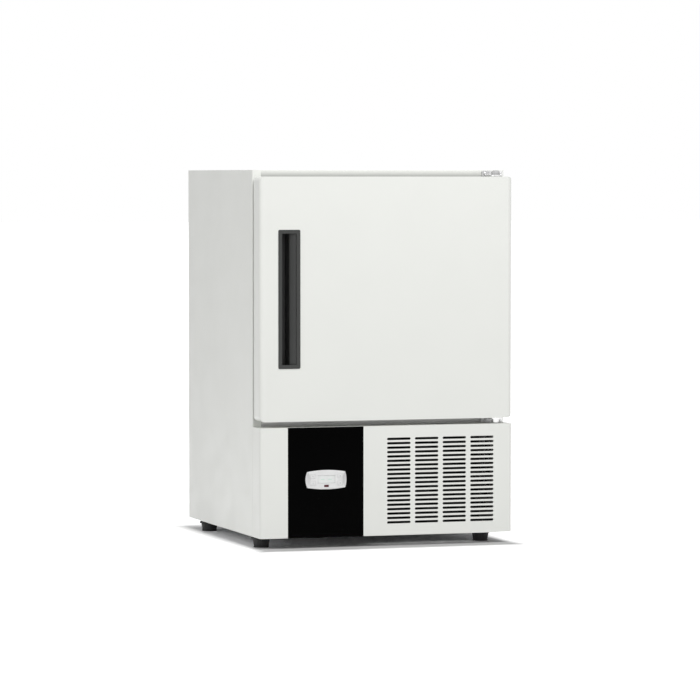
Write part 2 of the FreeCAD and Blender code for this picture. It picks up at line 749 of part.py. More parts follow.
def controller():
    half = ("controllerWidth / 2", "controllerHeight / 2", "endBulge", "edgeBulge")
    shell = barrel("bezel", *half, ("bezelFace", "doorFace"))
    front = [e for e in shell.Edges if abs(e.BoundBox.Center.y - value("bezelFace")) < 0.01]
    shell = shell.makeFillet(value("bezelRound"), front)
    hollow = barrel("hollow", "controllerWidth / 2 - bezelWall - 1", "controllerHeight / 2 - bezelWall - 0.5",
                    "endBulge", "edgeBulge", ("bezelFace + bezelWall", "doorFace + 1"))
    shell = shell.cut(hollow)

    def plate(x, z, width, height, y):
        size, low, high = (value(width), value(height)), value(y[0]), value(y[1])
        corner = Vector(value(x) - size[0] / 2, low, value(z) - size[1] / 2)
        box = Part.makeBox(size[0], high - low, size[1], corner)
        return box.makeFillet(1.2, [e for e in box.Edges if abs(e.BoundBox.YLength - (high - low)) < 1e-6])

    through = ("bezelFace - 1", "doorFace + 1")
    lamp = ("controllerX", "controllerZ - indicatorDrop", "indicatorWidth", "indicatorHeight")
    openings = [plate("controllerX", "controllerZ + 1", "displayWidth", "displayHeight", through),
                plate(*lamp, through)]
    for x, z in key_places().values():
        openings.append(plate(x, z, "keyWidth + 2 * keyGap", "keyHeight + 2 * keyGap", through))
    shaped("controller_bezel", shell.cut(openings))
    shaped("controller_display", plate("controllerX", "controllerZ + 1", "displayWidth", "displayHeight",
                                       ("bezelFace + 0.4", "doorFace")))
    shaped("indicator_lens", plate(*lamp, ("bezelFace - 0.3", "doorFace")))
    for label, (x, z) in key_places().items():
        stop = "bezelFace + bezelWall + 0.3"
        head = plate(x, z, "keyWidth", "keyHeight", ("keyFace", stop))
        collar = plate(x, z, "keyWidth + 2", "keyHeight + 2", (stop, f"{stop} + 1"))
        shaped(label, head.fuse(collar).removeSplitter())
    housing = block("housing_box", ("housingLeft", "housingRight"), ("doorFace", "doorFace + housingDepth"),
                    ("housingLow", "housingHigh"))
    hollow = block("housing_hollow", ("housingLeft + 2", "housingRight - 2"),
                   ("doorFace + 1.5", "doorFace + housingDepth + 1"), ("housingLow + 2", "housingHigh - 2"))
    piece("controller_housing", cut("controller_housing", housing, [hollow]))


def electrical_box():
    body = new_body("electrical_box")
    x, y = ("boxLeft", "boxRight"), ("boxFront", "boxFront + boxDepth")
    pad_box(body, x, y, ("baseTop", "boxTop"))
    pocket_box(body, ("boxLeft + sheet", "boxRight - sheet"),
               ("boxFront + sheet", "boxFront + boxDepth - sheet"), ("baseTop + sheet", "boxTop + 1"))
    cover = new_body("electrical_box_cover")
    pad_box(cover, ("boxLeft - sheet", "boxRight + sheet"),
            ("boxFront - sheet", "boxFront + boxDepth + sheet"), ("boxTop - coverRim", "boxTop + sheet"))
    pocket_box(cover, x, y, ("boxTop - coverRim - 1", "boxTop"))


# ---- machine compartment ----

def finned_coil(label, half_x, centre_x, y, z, tube_rows, tube_columns, margin):
    """Finned pack between two end plates, with return bends outside both."""
    left, right = f"({centre_x}) - ({half_x})", f"({centre_x}) + ({half_x})"
    pack = block(label + "_pack", (left, right), (y[0], y[1]), (z[0], z[1]))
    doc.recompute()
    shape = pack.Shape
    x0, x1, y0, y1, z0, z1 = (value(t) for t in (left, right, y[0], y[1], z[0], z[1]))
    pitch, groove = value("finPitch"), value("finGroove")
    count = int((x1 - x0 - pitch) / pitch)
    start = (x0 + x1) / 2 - (count - 1) * pitch / 2
    cutters = [Part.makeBox(groove, 12, z1 - z0 + 2, Vector(start + i * pitch - groove / 2, side, z0 - 1))
               for i in range(count) for side in (y0 - 1, y1 - 11)]
    shape = shape.cut(Part.makeCompound(cutters))
    plates = [Part.makeBox(1.5, y1 - y0 + 8, value(margin[1]) - value(margin[0]),
                           Vector(x, y0 - 4, value(margin[0]))) for x in (x0 - 1.5, x1)]
    step = (z1 - z0 - 30) / (tube_rows - 1)
    bends = []
    for column in range(tube_columns):
        ty = y0 + (y1 - y0) * (column + 0.5) / tube_columns
        for row in range(0, tube_rows - 1, 2):
            for side, x, shift in ((-1, x0 - 1.5, 0), (1, x1 + 1.5, 1)):
                low = z0 + 15 + (row + shift) * step
                if low + step > z1 - 10:
                    continue
                reach = Vector(side * (step / 2 + 3), 0, 0)
                ends = [Vector(x, ty, low), Vector(x, ty, low + step)]
                bends.append(tube([ends[0], ends[0] + reach, ends[1] + reach, ends[1]], 4, step / 2 - 0.1))
    return shape.multiFuse(plates + bends).removeSplitter()


def condenser():
    y = ("condenserFront", "condenserRear")
    coil = finned_coil("condenser_coil", "condenserWidth / 2", "condenserX", y,
                       ("baseTop + 6", "condenserTop"), 10, 2, ("baseTop", "condenserTop + 4"))
    shaped("condenser_coil", coil)
    body = new_body("condenser_shroud")
    x = ("condenserLeft", "condenserRight")
    pad_box(body, x, ("condenserRear + 4", "shroudRear"), ("baseTop", "condenserTop + 4"))
    pocket_box(body, ("condenserLeft + sheet", "condenserRight - sheet"),
               ("condenserRear + 3", "shroudRear - sheet"), ("baseTop + sheet", "condenserTop + 4 - sheet"))
    opening = "fanRadius + fanClearance"
    pocket_hole(body, "XZ_Plane", "condenserX", "condenserZ", opening, "shroudRear - 10", "20")
    fan_y = value("shroudRear + 4")
    centre = Vector(value("condenserX"), fan_y, value("condenserZ"))
    motor_front = value("shroudRear") + 4 + value("fanDepth") / 2 + 12
    rotor("condenser_fan", centre, motor_front + value("shaftSeat"))
    fan_motor("condenser_fan_motor", centre, motor_front, value("shroudRear"))


def compressor():
    body = new_body("compressor_shell")
    sketch = sketch_on(body, "XY_Plane", "shellLow")
    circle(sketch, "compressorX", "compressorY", "compressorRadius")
    extrude(body, "Pad", sketch, "compressorHeight")
    top, low = near("z", "shellTop"), near("z", "shellLow")
    fillet_edges(body, "compressorRadius / 2", top)
    fillet_edges(body, "compressorRadius / 5", low)
    sketch = sketch_on(body, "XY_Plane", "shellLow + compressorHeight * 0.55")
    circle(sketch, "compressorX", "compressorY", "compressorRadius + 3")
    extrude(body, "Pad", sketch, "6")

    plate = new_body("compressor_base")
    reach = "mountSpread + plateMargin"
    pad_box(plate, (f"compressorX - ({reach})", f"compressorX + {reach}"),
            (f"compressorY - ({reach})", f"compressorY + {reach}"), ("plateLow", "shellLow"))
    grommets = []
    for sx in (-1, 1):
        for sy in (-1, 1):
            spot = (f"compressorX + {sx} * mountSpread", f"compressorY + {sy} * mountSpread")
            pocket_hole(plate, "XY_Plane", *spot, "grommetNeck", "shellLow + 1", "compressorPlate + 2")
            rings = [Part.makeCylinder(value(radius), value(f"({high}) - ({low})"), at(*spot, low))
                     for radius, low, high in (("grommetRadius", "baseTop", "plateLow"),
                                               ("grommetNeck", "plateLow", "shellLow"),
                                               ("grommetHead", "shellLow", "shellLow + 4"))]
            grommets.append(rings[0].multiFuse(rings[1:]))
    upright = along("z")
    left, right = near("x", f"compressorX - ({reach})"), near("x", f"compressorX + {reach}")
    fillet_edges(plate, "10", lambda e: upright(e) and (left(e) or right(e)))
    shaped("compressor_grommets", Part.makeCompound([g.removeSplitter() for g in grommets]))
    front = "compressorY - compressorRadius"
    box = block("terminal_box", ("compressorX - terminalWidth / 2", "compressorX + terminalWidth / 2"),
                (f"{front} - terminalDepth", f"{front} + 12"),
                ("shellLow + terminalRise", "shellLow + terminalRise + terminalHeight"))
    middle = ("compressorX", "compressorY")
    shell = rod("terminal_seat", "z", middle, "shellLow", "shellTop", "compressorRadius")
    piece("compressor_terminal_cover", cut("compressor_terminal_cover", box, [shell]))


def pipework():
    """Discharge to the condenser, liquid through the drier, suction back from the evaporator."""
    gas, suction, wall = value("gasPipe"), value("suctionPipe"), value("pipeWall")
    side = "innerHalf - 14"
    shell_right, stub = "compressorX + compressorRadius", "shellLow + 60"
    coil_y, high = "condenserRear - 14", "condenserTop - 12"
    discharge = [at(shell_right, "compressorY", stub), at(side, "compressorY", stub), at(side, coil_y, stub),
                 at(side, coil_y, high), at("condenserRight + 1.5", coil_y, high)]
    shaped("discharge_pipe", tube(discharge, gas, 12, gas - wall))

    (riser, riser_y, _), (return_x, return_y, _), (drain_x, drain_y, _) = PENETRATIONS
    drier_y, drier_low = "condenserRear + 150", "baseTop + 70"
    coil_low = "chamberLow + coilMargin"
    shaped("filter_drier", drier(at(riser, drier_y, drier_low)))
    drier_high = "baseTop + 70 + drierLength"
    lower = tube([at("condenserLeft - 1.5", coil_y, "baseTop + 10"), at(riser, coil_y, "baseTop + 10"),
                  at(riser, drier_y, "baseTop + 10"), at(riser, drier_y, drier_low)], gas, 12, gas - wall)
    over = drier_high + " + 30"
    upper = tube([at(riser, drier_y, drier_high), at(riser, drier_y, over), at(riser, riser_y, over),
                  at(riser, riser_y, coil_low)], gas, 12, gas - wall)
    shaped("liquid_pipe", Part.makeCompound([lower, upper]))
    suction_z = "shellLow + 120"
    shaped("suction_pipe", tube([at(return_x, return_y, coil_low), at(return_x, return_y, suction_z),
                                 at(return_x, "compressorY", suction_z),
                                 at("compressorX - compressorRadius", "compressorY", suction_z)],
                                suction, 12, suction - wall))
    drain, spot = value("drainPipe"), at(drain_x, drain_y, "baseTop + 18")
    length = value("chamberLow - 18 - baseTop")
    pipe = Part.makeCylinder(drain, length, spot)
    shaped("drain_tube", pipe.cut(Part.makeCylinder(drain - 2, length, spot)))
    tray = new_body("condensate_tray")
    x = (f"{drain_x} - 90", f"{drain_x} + 60")
    y = (f"{drain_y} - 60", f"{drain_y} + 30")
    pad_box(tray, x, y, ("baseTop", "baseTop + 30"))
    inside = [(f"{low} + 2", f"{high} - 2") for low, high in (x, y)]
    pocket_box(tray, *inside, ("baseTop + 2", "baseTop + 31"))


def drier(foot):
    """A copper cylinder with conical ends, standing on the liquid pipe."""
    radius, neck, length, cone = value("driersRadius"), value("gasPipe"), value("drierLength"), 14
    up = Vector(0, 0, 1)
    low = Part.makeCone(neck, radius, cone, foot, up)
    can = Part.makeCylinder(radius, length - 2 * cone, foot + up * cone, up)
    high = Part.makeCone(radius, neck, cone, foot + up * (length - cone), up)
    return low.multiFuse([can, high]).removeSplitter()


def cable_gland():
    spot = ("glandX", "glandZ")
    back = "grilleFace - sheet"
    neck = rod("gland_neck", "y", spot, f"{back} - glandReach", "grilleFace + glandReach", "glandRadius")
    flange = rod("gland_flange", "y", spot, "grilleFace", "grilleFace + 5", "glandFlange")
    nut = rod("gland_nut", "y", spot, f"{back} - 6", back, "glandFlange")
    ends = (f"{back} - glandReach - 8", "grilleFace + glandReach + 8")
    bore = rod("gland_bore", "y", spot, *ends, "glandBore")
    piece("cable_gland", cut("cable_gland", join("gland_solid", [neck, flange, nut]), [bore]))


# ---- inside the chamber ----

def runner_rack(label, side):
    """Two uprights carry bent-wire runners that reach in under the pan's rim."""
    upright_x = value(f"{side} * (chamberHalf - rackGap + rackWire / 2)")
    runner_x = value(f"{side} * (panWidth / 2 - runnerOverlap)")
    y0, y1 = value("rackFront"), value("rackRear")
    low, high = value("chamberLow + 6"), value("chamberHigh - 40")
    thick, thin = value("rackWire") / 2, value("runnerWire") / 2
    parts = [Part.makeCylinder(thick, high - low, Vector(upright_x, y, low)) for y in (y0, y1)]
    levels = 1 + int(value("(chamberHigh - chamberLow - rackFirst - rackHeadroom) / rackPitch"))
    for i in range(levels):
        z = value(f"chamberLow + rackFirst + {i} * rackPitch")
        spots = ((upright_x, y0), (runner_x, y0), (runner_x, y1), (upright_x, y1))
        parts.append(tube([Vector(x, y, z) for x, y in spots], thin, 14))
    shaped(label, parts[0].multiFuse(parts[1:]).removeSplitter())


def rack_studs():
    studs = []
    gap, wire = value("rackGap"), value("rackWire") / 2
    for side in (-1, 1):
        x = value(f"{side} * chamberHalf")
        for y in (value("rackFront"), value("rackRear")):
            for z in (value("chamberLow + 24"), value("chamberHigh - 60")):
                stud = Part.makeCylinder(8, gap, Vector(x, y, z), Vector(-side, 0, 0))
                bore = Part.makeCylinder(wire + 0.1, 40, Vector(x - side * (gap - wire), y, z - 20))
                studs.append(stud.cut(bore))
    shaped("rack_studs", Part.makeCompound(studs))


def fan_guard(centre, wire=2, rings=5):
    """Wire rings lying on the cover, welded to six spokes and a disc in front of them."""
    outer = value("fanRadius + fanClearance") + wire
    back, ahead = centre - Vector(0, wire, 0), centre - Vector(0, 2.6 * wire, 0)
    hub = outer / (rings + 1)
    parts = [Part.makeCylinder(hub, 2 * wire, ahead - Vector(0, wire, 0), Vector(0, 1, 0))]
    for i in range(2, rings + 2):
        parts.append(Part.makeTorus(hub * i, wire, back, Vector(0, 1, 0)))
    for i in range(6):
        spoke = Part.makeCylinder(wire * 0.8, outer - hub / 2, ahead + Vector(hub / 2, 0, 0), Vector(1, 0, 0))
        spoke.rotate(ahead, Vector(0, 1, 0), 60 * i + 30)
        parts.append(spoke)
    return parts[0].multiFuse(parts[1:]).removeSplitter()


def evaporator():
    body = new_body("evaporator_cover")
    wide = ("-coverHalf", "coverHalf")
    pad_box(body, wide, ("coverFront", "coverFront + coverFold"), ("chamberLow", "chamberHigh"))
    pocket_box(body, ("-coverHalf + linerSheet", "coverHalf - linerSheet"),
               ("coverFront + linerSheet", "coverFront + coverFold + 1"), ("chamberLow", "chamberHigh"))
    pocket_hole(body, "XZ_Plane", "0", "fanZ", "fanRadius + fanClearance", "coverFront - 1", "linerSheet + 2")
    centre = at("0", "fanY", "fanZ")
    motor_front = value("fanY + fanDepth / 2 + 6")
    rotor("evaporator_fan", centre, motor_front + value("shaftSeat"))
    fan_motor("evaporator_fan_motor", centre, motor_front, value("coverFront + linerSheet"))
    shaped("evaporator_fan_guard", fan_guard(Vector(0, value("coverFront"), value("fanZ"))))
    z = ("chamberLow + coilMargin", "chamberHigh - coilMargin")
    coil = finned_coil("evaporator_coil", "coilHalf", "0", ("coilFront", "coilRear"), z, 14, 2,
                       ("chamberLow", "chamberHigh"))
    shaped("evaporator_coil", coil)


# ---- door ----

def door():
    form = door_form("door_outside", "0")
    inside = door_form("door_inside", "sheet")
    lip_x = ("-halfW + doorLip", "halfW - doorLip")
    lip_z = ("doorLow + doorLip", "doorHigh - doorLip")
    window = block("door_window", lip_x, ("doorBack - 5", "doorBack + 1"), lip_z)
    grip_x = ("gripX + 3", "gripEnd - 3")
    grip_z = ("gripLow + 3", "gripHigh - 3")
    grip_hole = block("grip_hole", grip_x, ("doorFace - 1", "doorFace + gripDepth"), grip_z)
    bores = [rod("skin_bore_" + name, "z", ("hingeX", "hingeY"), low, high, "bushRadius")
             for name, low, high in (("top", "doorHigh - pinDepth - 2", "doorHigh + 1"),
                                     ("low", "doorLow - 1", "doorLow + pinDepth + 2"))]
    piece("door_skin", cut("door_skin", form, [inside, window, grip_hole] + bores))
    panel = new_body("door_inner_panel")
    pad_box(panel, lip_x, ("doorBack - sheet", "doorBack"), lip_z)
    pad_box(panel, ("-halfW + embossInset", "halfW - embossInset"), ("doorBack", "doorBack + embossRise"),
            ("doorLow + embossInset", "doorHigh - embossInset"))
    raised, edge_x = near("y", "doorBack + embossRise"), value("halfW - embossInset")
    fillet_edges(panel, "embossRise * 0.8", raised)
    behind = block("behind_panel", lip_x, ("doorBack - sheet", "doorBack + 5"), lip_z)
    piece("door_insulation", cut("door_insulation", inside, [behind, grip_hole] + bores))
    bushes = []
    for name, low, high, pin in (("top", "doorHigh - pinDepth - 2", "doorHigh", "doorHigh - pinDepth - 0.5"),
                                 ("low", "doorLow", "doorLow + pinDepth + 2", "doorLow + pinDepth + 0.5")):
        bush = rod("bush_" + name, "z", ("hingeX", "hingeY"), low, high, "bushRadius")
        ends = (pin, "doorHigh + 1") if name == "top" else ("doorLow - 1", pin)
        hole = rod("bush_bore_" + name, "z", ("hingeX", "hingeY"), *ends, "pinRadius + 0.05")
        bushes.append(cut("bush_solid_" + name, bush, [hole]))
    pair = doc.addObject("Part::Compound", "door_bushes")
    pair.Links = bushes
    piece("door_bushes", pair)


def door_form(name, inset):
    """The slab: rounded in plan by its upright edges and in elevation by its four corners."""
    def prism(suffix, radii):
        raw = block(f"{name}_{suffix}", (f"-halfW + {inset}", f"halfW - {inset}"),
                    (f"doorFace + {inset}", f"doorBack - {inset}"),
                    (f"doorLow + {inset}", f"doorHigh - {inset}"))
        return rounded(f"{name}_{suffix}_round", raw, radii)
    upright, deep = along("z"), along("y")
    rear = near("y", f"doorBack - {inset}", upright)
    hinge_rear = near("x", f"halfW - {inset}", rear)
    plan = prism("plan", [(hinge_rear, f"hingeSideRadius - {inset}"), (rear, f"doorRearRadius - {inset}"),
                          (upright, f"doorFrontRadius - {inset}")])
    elevation = prism("elevation", [(deep, f"doorCorner - {inset}")])
    common = doc.addObject("Part::MultiCommon", name)
    common.Shapes = [plan, elevation]
    return common


def door_gasket():
    body = new_body("door_gasket")
    sketch = sketch_on(body, "XZ_Plane", "cabFront - 0.3")
    outer = "gasketInset"
    inner = "gasketInset + gasketWidth"
    rectangle(sketch, (f"-halfW + {outer}", f"halfW - {outer}"), ("doorLow + 12", "doorHigh - 12"))
    rectangle(sketch, (f"-halfW + {inner}", f"halfW - ({inner})"),
              ("doorLow + 12 + gasketWidth", "doorHigh - 12 - gasketWidth"))
    extrude(body, "Pad", sketch, "doorProud - doorSlab - 0.3")
    fillet_edges(body, "3", near("y", "cabFront - 0.3"))


def door_grip():
    """Recessed grip: a flange on the door face, a deep channel and a ramp up to its right border."""
    body = new_body("door_grip")
    pad_box(body, ("gripX + 3", "gripEnd - 3"), ("doorFace", "doorFace + gripDepth"),
            ("gripLow + 3", "gripHigh - 3"))
    pad_box(body, ("gripX", "gripEnd"), ("doorFace - gripFlange", "doorFace"), ("gripLow", "gripHigh"))
    deep = along("y")
    corners = (value("gripX"), value("gripEnd"))
    fillet_edges(body, "5", lambda e: deep(e) and min(abs(e.BoundBox.Center.x - c) for c in corners) < 0.01)
    sketch = sketch_on(body, "XY_Plane", "gripHigh - gripBorder")
    left, right = "gripX + gripBorder", "gripEnd - gripBorder"
    under = "gripX + gripBorder - gripUndercut"
    floor = "doorFace + gripDepth - gripWall"
    polygon(sketch, [(left, "doorFace - gripFlange - 1"), (left, "doorFace + 3"), (under, "doorFace + 5"),
                     (under, floor), (f"{left} + channelWidth", floor),
                     (f"{left} + channelWidth", "doorFace + rampDepth"), (right, "doorFace + 2"),
                     (right, "doorFace - gripFlange - 1")])
    extrude(body, "Pocket", sketch, "gripLength - 2 * gripBorder")


def hinges():
    """Bracket plates with their pins, screwed to the cabinet's front above and below the door."""
    screws = []
    pin = ("hingeX", "hingeY")
    leg_end = "hingeX + tongueWidth / 2 + legOverhang"
    leg_x = (f"{leg_end} - hingeWidth", leg_end)
    tongue_x = ("hingeX - tongueWidth / 2", "hingeX + tongueWidth / 2")
    leg_y = ("cabFront - hingePlate", "cabFront")
    upper_z = ("doorHigh + hingeGap", "doorHigh + hingeGap + hingePlate")
    lower_z = ("doorLow - hingeGap - hingePlate", "doorLow - hingeGap")
    leg_z = {"upper": (upper_z[0], "bodyHeight - 1"), "lower": ("panelTop + 0.5", lower_z[1])}
    for name, plate_z in (("upper", upper_z), ("lower", lower_z)):
        nose = "hingeY - tongueWidth / 2"
        tongue = block(f"{name}_tongue", tongue_x, (nose, leg_y[1]), plate_z)
        tongue = rounded(f"{name}_tongue_round", tongue, [(near("y", nose, along("z")), "12")])
        leg = block(f"{name}_leg", leg_x, leg_y, leg_z[name])
        ends = ("doorHigh - pinDepth", plate_z[1]) if name == "upper" else (plate_z[0], "doorLow + pinDepth")
        solids = [tongue, leg, rod(f"{name}_pin", "z", pin, *ends, "pinRadius")]
        if name == "lower":
            solids.append(rod("lower_boss", "z", pin, "panelTop + 2", lower_z[1], "bossRadius"))
        piece(f"{name}_hinge_bracket", join(f"{name}_hinge_bracket", solids))
        z = "bodyHeight - 7.5" if name == "upper" else "panelTop + 5"
        for shift in (8, "hingeWidth - 6"):
            screws.append(rod(f"{name}_screw_{len(screws)}", "y", (f"{leg_x[0]} + {shift}", z),
                              f"{leg_y[0]} - screwHead", leg_y[0], "screwRadius"))
    group = doc.addObject("Part::Compound", "hinge_screws")
    group.Links = screws
    piece("hinge_screws", group)
    cap = new_body("hinge_cap")
    sketch = sketch_on(cap, "XY_Plane", upper_z[1])
    circle(sketch, *pin, "capRadius")
    extrude(cap, "Pad", sketch, f"bodyHeight - 0.5 - ({upper_z[1]})")
    fillet_edges(cap, "capRound", near("z", "bodyHeight - 0.5"))


# ---- feet ----

def feet():
    nuts = []
    for label, x, y in (("foot_front_left", "footLeftX", "footFront"),
                        ("foot_front_right", "footRightX", "footFront"),
                        ("foot_rear_left", "footLeftX", "footRear"),
                        ("foot_rear_right", "footRightX", "footRear")):
        cone = doc.addObject("Part::Cone", label + "_cone")
        bind(cone, Radius1="footBaseRadius", Radius2="footTopRadius - 3", Height="footHeight - 4",
             Placement_Base_x=x, Placement_Base_y=y)
        flange = rod(label + "_flange", "z", (x, y), "footHeight - 4", "footHeight - 0.3", "footTopRadius")
        stud_top = "baseTop + nutHeight + footTravel"
        stud = rod(label + "_stud", "z", (x, y), "footHeight - 1", stud_top, "studRadius")
        piece(label, join(label, [cone, flange, stud]))
        centre, size, high = at(x, y, "baseTop"), value("nutSize") / math.sqrt(3), value("nutHeight")
        hexagon = [centre + Vector(size * math.cos(a), size * math.sin(a), 0)
                   for a in (math.radians(60 * i + 30) for i in range(7))]
        nut = Part.Face(Part.makePolygon(hexagon)).extrude(Vector(0, 0, high))
        nuts.append(nut.cut(Part.makeCylinder(value("studRadius + holeClearance") - 0.1, high, centre)))
    shaped("foot_nuts", Part.makeCompound(nuts))


side_panel("side_panel_left", -1)
side_panel("side_panel_right", 1)
top_panel()
rear_panels()
base_tray()
divider_panel()
insulated_box()
front_collar()
front_panel()
control_fascia()
controller()
electrical_box()
condenser()
compressor()
pipework()
cable_gland()
runner_rack("rack_left", -1)
runner_rack("rack_right", 1)
rack_studs()
evaporator()
door()
door_gasket()
door_grip()
hinges()
feet()

doc.recompute()
for thing in doc.Objects:
    if "Invalid" in thing.State or "Error" in thing.State:
        raise RuntimeError(f"{thing.Label} did not build: {thing.State}")
os.makedirs("parts", exist_ok=True)
for thing in pieces:
    shape = thing.Shape
    if shape.isNull() or not shape.isValid() or not shape.Solids:
        raise RuntimeError(f"{thing.Label} has no valid solid")
    shape.exportStep(f"parts/{thing.Label}.step")
print(len(pieces), "pieces")
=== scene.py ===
import json
import math

import bmesh
import bpy
from mathutils import Matrix, Vector


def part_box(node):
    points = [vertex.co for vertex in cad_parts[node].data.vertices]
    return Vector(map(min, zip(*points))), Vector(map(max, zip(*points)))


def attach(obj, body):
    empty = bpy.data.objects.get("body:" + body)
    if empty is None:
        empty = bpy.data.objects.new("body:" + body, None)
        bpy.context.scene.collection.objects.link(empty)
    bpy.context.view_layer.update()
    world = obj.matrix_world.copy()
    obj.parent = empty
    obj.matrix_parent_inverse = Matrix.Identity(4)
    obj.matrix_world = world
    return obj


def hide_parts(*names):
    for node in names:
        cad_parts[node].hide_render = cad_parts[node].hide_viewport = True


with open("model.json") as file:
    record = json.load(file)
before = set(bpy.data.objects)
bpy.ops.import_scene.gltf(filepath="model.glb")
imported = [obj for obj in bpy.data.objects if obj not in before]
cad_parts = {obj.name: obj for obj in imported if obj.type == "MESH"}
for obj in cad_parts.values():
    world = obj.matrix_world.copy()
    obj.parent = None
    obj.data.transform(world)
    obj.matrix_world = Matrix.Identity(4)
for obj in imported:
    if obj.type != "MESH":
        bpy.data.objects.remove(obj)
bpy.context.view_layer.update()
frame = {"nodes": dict(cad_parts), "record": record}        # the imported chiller: bodies, nodes, joints and record
mm = 0.001
print("frame loaded:", len(frame["nodes"]), "nodes")


# Shader helpers. A plain value is set on its socket, and a socket is linked to it.

def addNode(tree, kind, values=None, **settings):
    made = tree.nodes.new("ShaderNode" + kind)
    for key, setting in settings.items():
        setattr(made, key, setting)
    for key, value in (values or {}).items():
        if isinstance(value, bpy.types.NodeSocket):
            tree.links.new(value, made.inputs[key])
        else:
            made.inputs[key].default_value = value
    return made


def startFinish(name, **constants):
    # constants are named like the shader's sockets, with _ for a space
    finish = bpy.data.materials.new(name)
    finish.use_nodes = True
    shader = finish.node_tree.nodes["Principled BSDF"]
    for key, value in constants.items():
        shader.inputs[key.replace("_", " ")].default_value = value
    return finish, finish.node_tree, shader


def grain(tree, size, stretch=(1, 1, 1), detail=3):
    # noise whose spots are about size across, drawn out along an axis by stretch
    place = addNode(tree, "TexCoord")
    scale = [1 / (size * s) for s in stretch]
    fitted = addNode(tree, "Mapping", {"Vector": place.outputs["Object"], "Scale": scale})
    noise = addNode(tree, "TexNoise", {"Vector": fitted.outputs["Vector"], "Scale": 1.0, "Detail": detail})
    return noise.outputs["Fac"]


def cells(tree, size, output="Color"):
    place = addNode(tree, "TexCoord")
    crystals = addNode(tree, "TexVoronoi", {"Vector": place.outputs["Object"], "Scale": 1 / size})
    return crystals.outputs[output]


def spread(tree, field, low, high, start=0.3, stop=0.7):
    ranged = {"Value": field, "From Min": start, "From Max": stop, "To Min": low, "To Max": high}
    return addNode(tree, "MapRange", ranged).outputs["Result"]


def mixed(tree, share, first, second):
    pair = [c if isinstance(c, bpy.types.NodeSocket) else (*c, 1) for c in (first, second)]
    return addNode(tree, "Mix", {0: share, 6: pair[0], 7: pair[1]}, data_type="RGBA").outputs[2]


def shaded(colour, share):
    return tuple(c * share for c in colour)


def plug(tree, shader, **sockets):
    for key, socket in sockets.items():
        tree.links.new(socket, shader.inputs[key.replace("_", " ")])


def relief(tree, shader, *layers):
    # each layer is a field and its depth in metres; later layers lie over earlier ones
    under = None
    for field, depth in layers:
        values = {"Height": field, "Distance": depth, "Strength": 1.0}
        if under:
            values["Normal"] = under
        under = addNode(tree, "Bump", values).outputs["Normal"]
    plug(tree, shader, Normal=under)


# Finishes

def powderCoat(name, colour, shade=None):
    # baked paint on sheet steel: orange peel, fine speckle and a slow ripple in the sheet;
    # shade is a painted shade that darkens a front fold towards its foot
    finish, tree, shader = startFinish(name, Specular_IOR_Level=0.4)
    speckle = grain(tree, 0.9 * mm, detail=2)
    cloud = grain(tree, 160 * mm)
    base = mixed(tree, spread(tree, cloud, 0, 1), shaded(colour, 0.985), colour)
    base = mixed(tree, spread(tree, speckle, 0, 0.12, 0.55, 0.75), base, shaded(colour, 0.9))
    if shade:
        steps = addNode(tree, "SeparateXYZ", {"Vector": addNode(tree, "TexCoord").outputs["Object"]}).outputs
        near = spread(tree, steps["Y"], 1, 0, *shade["depths"])
        low = spread(tree, steps["Z"], 1, 0, *shade["heights"])
        share = addNode(tree, "Math", {0: low, 1: near}, operation="MULTIPLY")
        base = mixed(tree, share.outputs[0], base, shaded(colour, shade["tone"]))
    plug(tree, shader, Base_Color=base, Roughness=spread(tree, grain(tree, 45 * mm), 0.36, 0.48))
    peel = grain(tree, 2.2 * mm, detail=2)
    relief(tree, shader, (grain(tree, 240 * mm, detail=1), 0.5 * mm), (peel, 0.03 * mm))
    return finish


def brushedSteel(name, colour, direction, roughness=(0.26, 0.4), metallic=1.0):
    # direction is the axis that the brush ran along
    finish, tree, shader = startFinish(name, Metallic=metallic)
    stretch = [90 if axis == direction else 1 for axis in "xyz"]
    lines = grain(tree, 0.7 * mm, stretch, detail=4)
    cloud = grain(tree, 70 * mm)
    base = mixed(tree, spread(tree, lines, 0, 1), shaded(colour, 0.88), colour)
    base = mixed(tree, spread(tree, cloud, 0, 0.25), base, shaded(colour, 0.85))
    plug(tree, shader, Base_Color=base, Roughness=spread(tree, lines, *roughness))
    relief(tree, shader, (grain(tree, 120 * mm, detail=1), 0.25 * mm), (lines, 0.012 * mm))
    return finish


def galvanised(name, colour):
    # zinc spangle: each crystal has its own tone and gloss
    finish, tree, shader = startFinish(name, Metallic=0.85)
    tone = addNode(tree, "RGBToBW", {"Color": cells(tree, 9 * mm)}).outputs["Val"]
    base = mixed(tree, tone, shaded(colour, 0.78), shaded(colour, 1.12))
    dull = grain(tree, 30 * mm)
    base = mixed(tree, spread(tree, dull, 0, 0.4), base, shaded(colour, 0.8))
    plug(tree, shader, Base_Color=base, Roughness=spread(tree, tone, 0.34, 0.55, 0, 1))
    relief(tree, shader, (tone, 0.02 * mm), (grain(tree, 1.2 * mm), 0.01 * mm))
    return finish


def mouldedPlastic(name, colour, roughness, texture=0.6 * mm, depth=0.012 * mm, specular=0.5):
    finish, tree, shader = startFinish(name, Specular_IOR_Level=specular)
    fine = grain(tree, texture, detail=2)
    cloud = grain(tree, 25 * mm)
    base = mixed(tree, spread(tree, cloud, 0, 1), shaded(colour, 0.93), colour)
    base = mixed(tree, spread(tree, fine, 0, 0.2), base, shaded(colour, 1.15))
    plug(tree, shader, Base_Color=base, Roughness=spread(tree, cloud, roughness - 0.05, roughness + 0.06))
    relief(tree, shader, (fine, depth))
    return finish


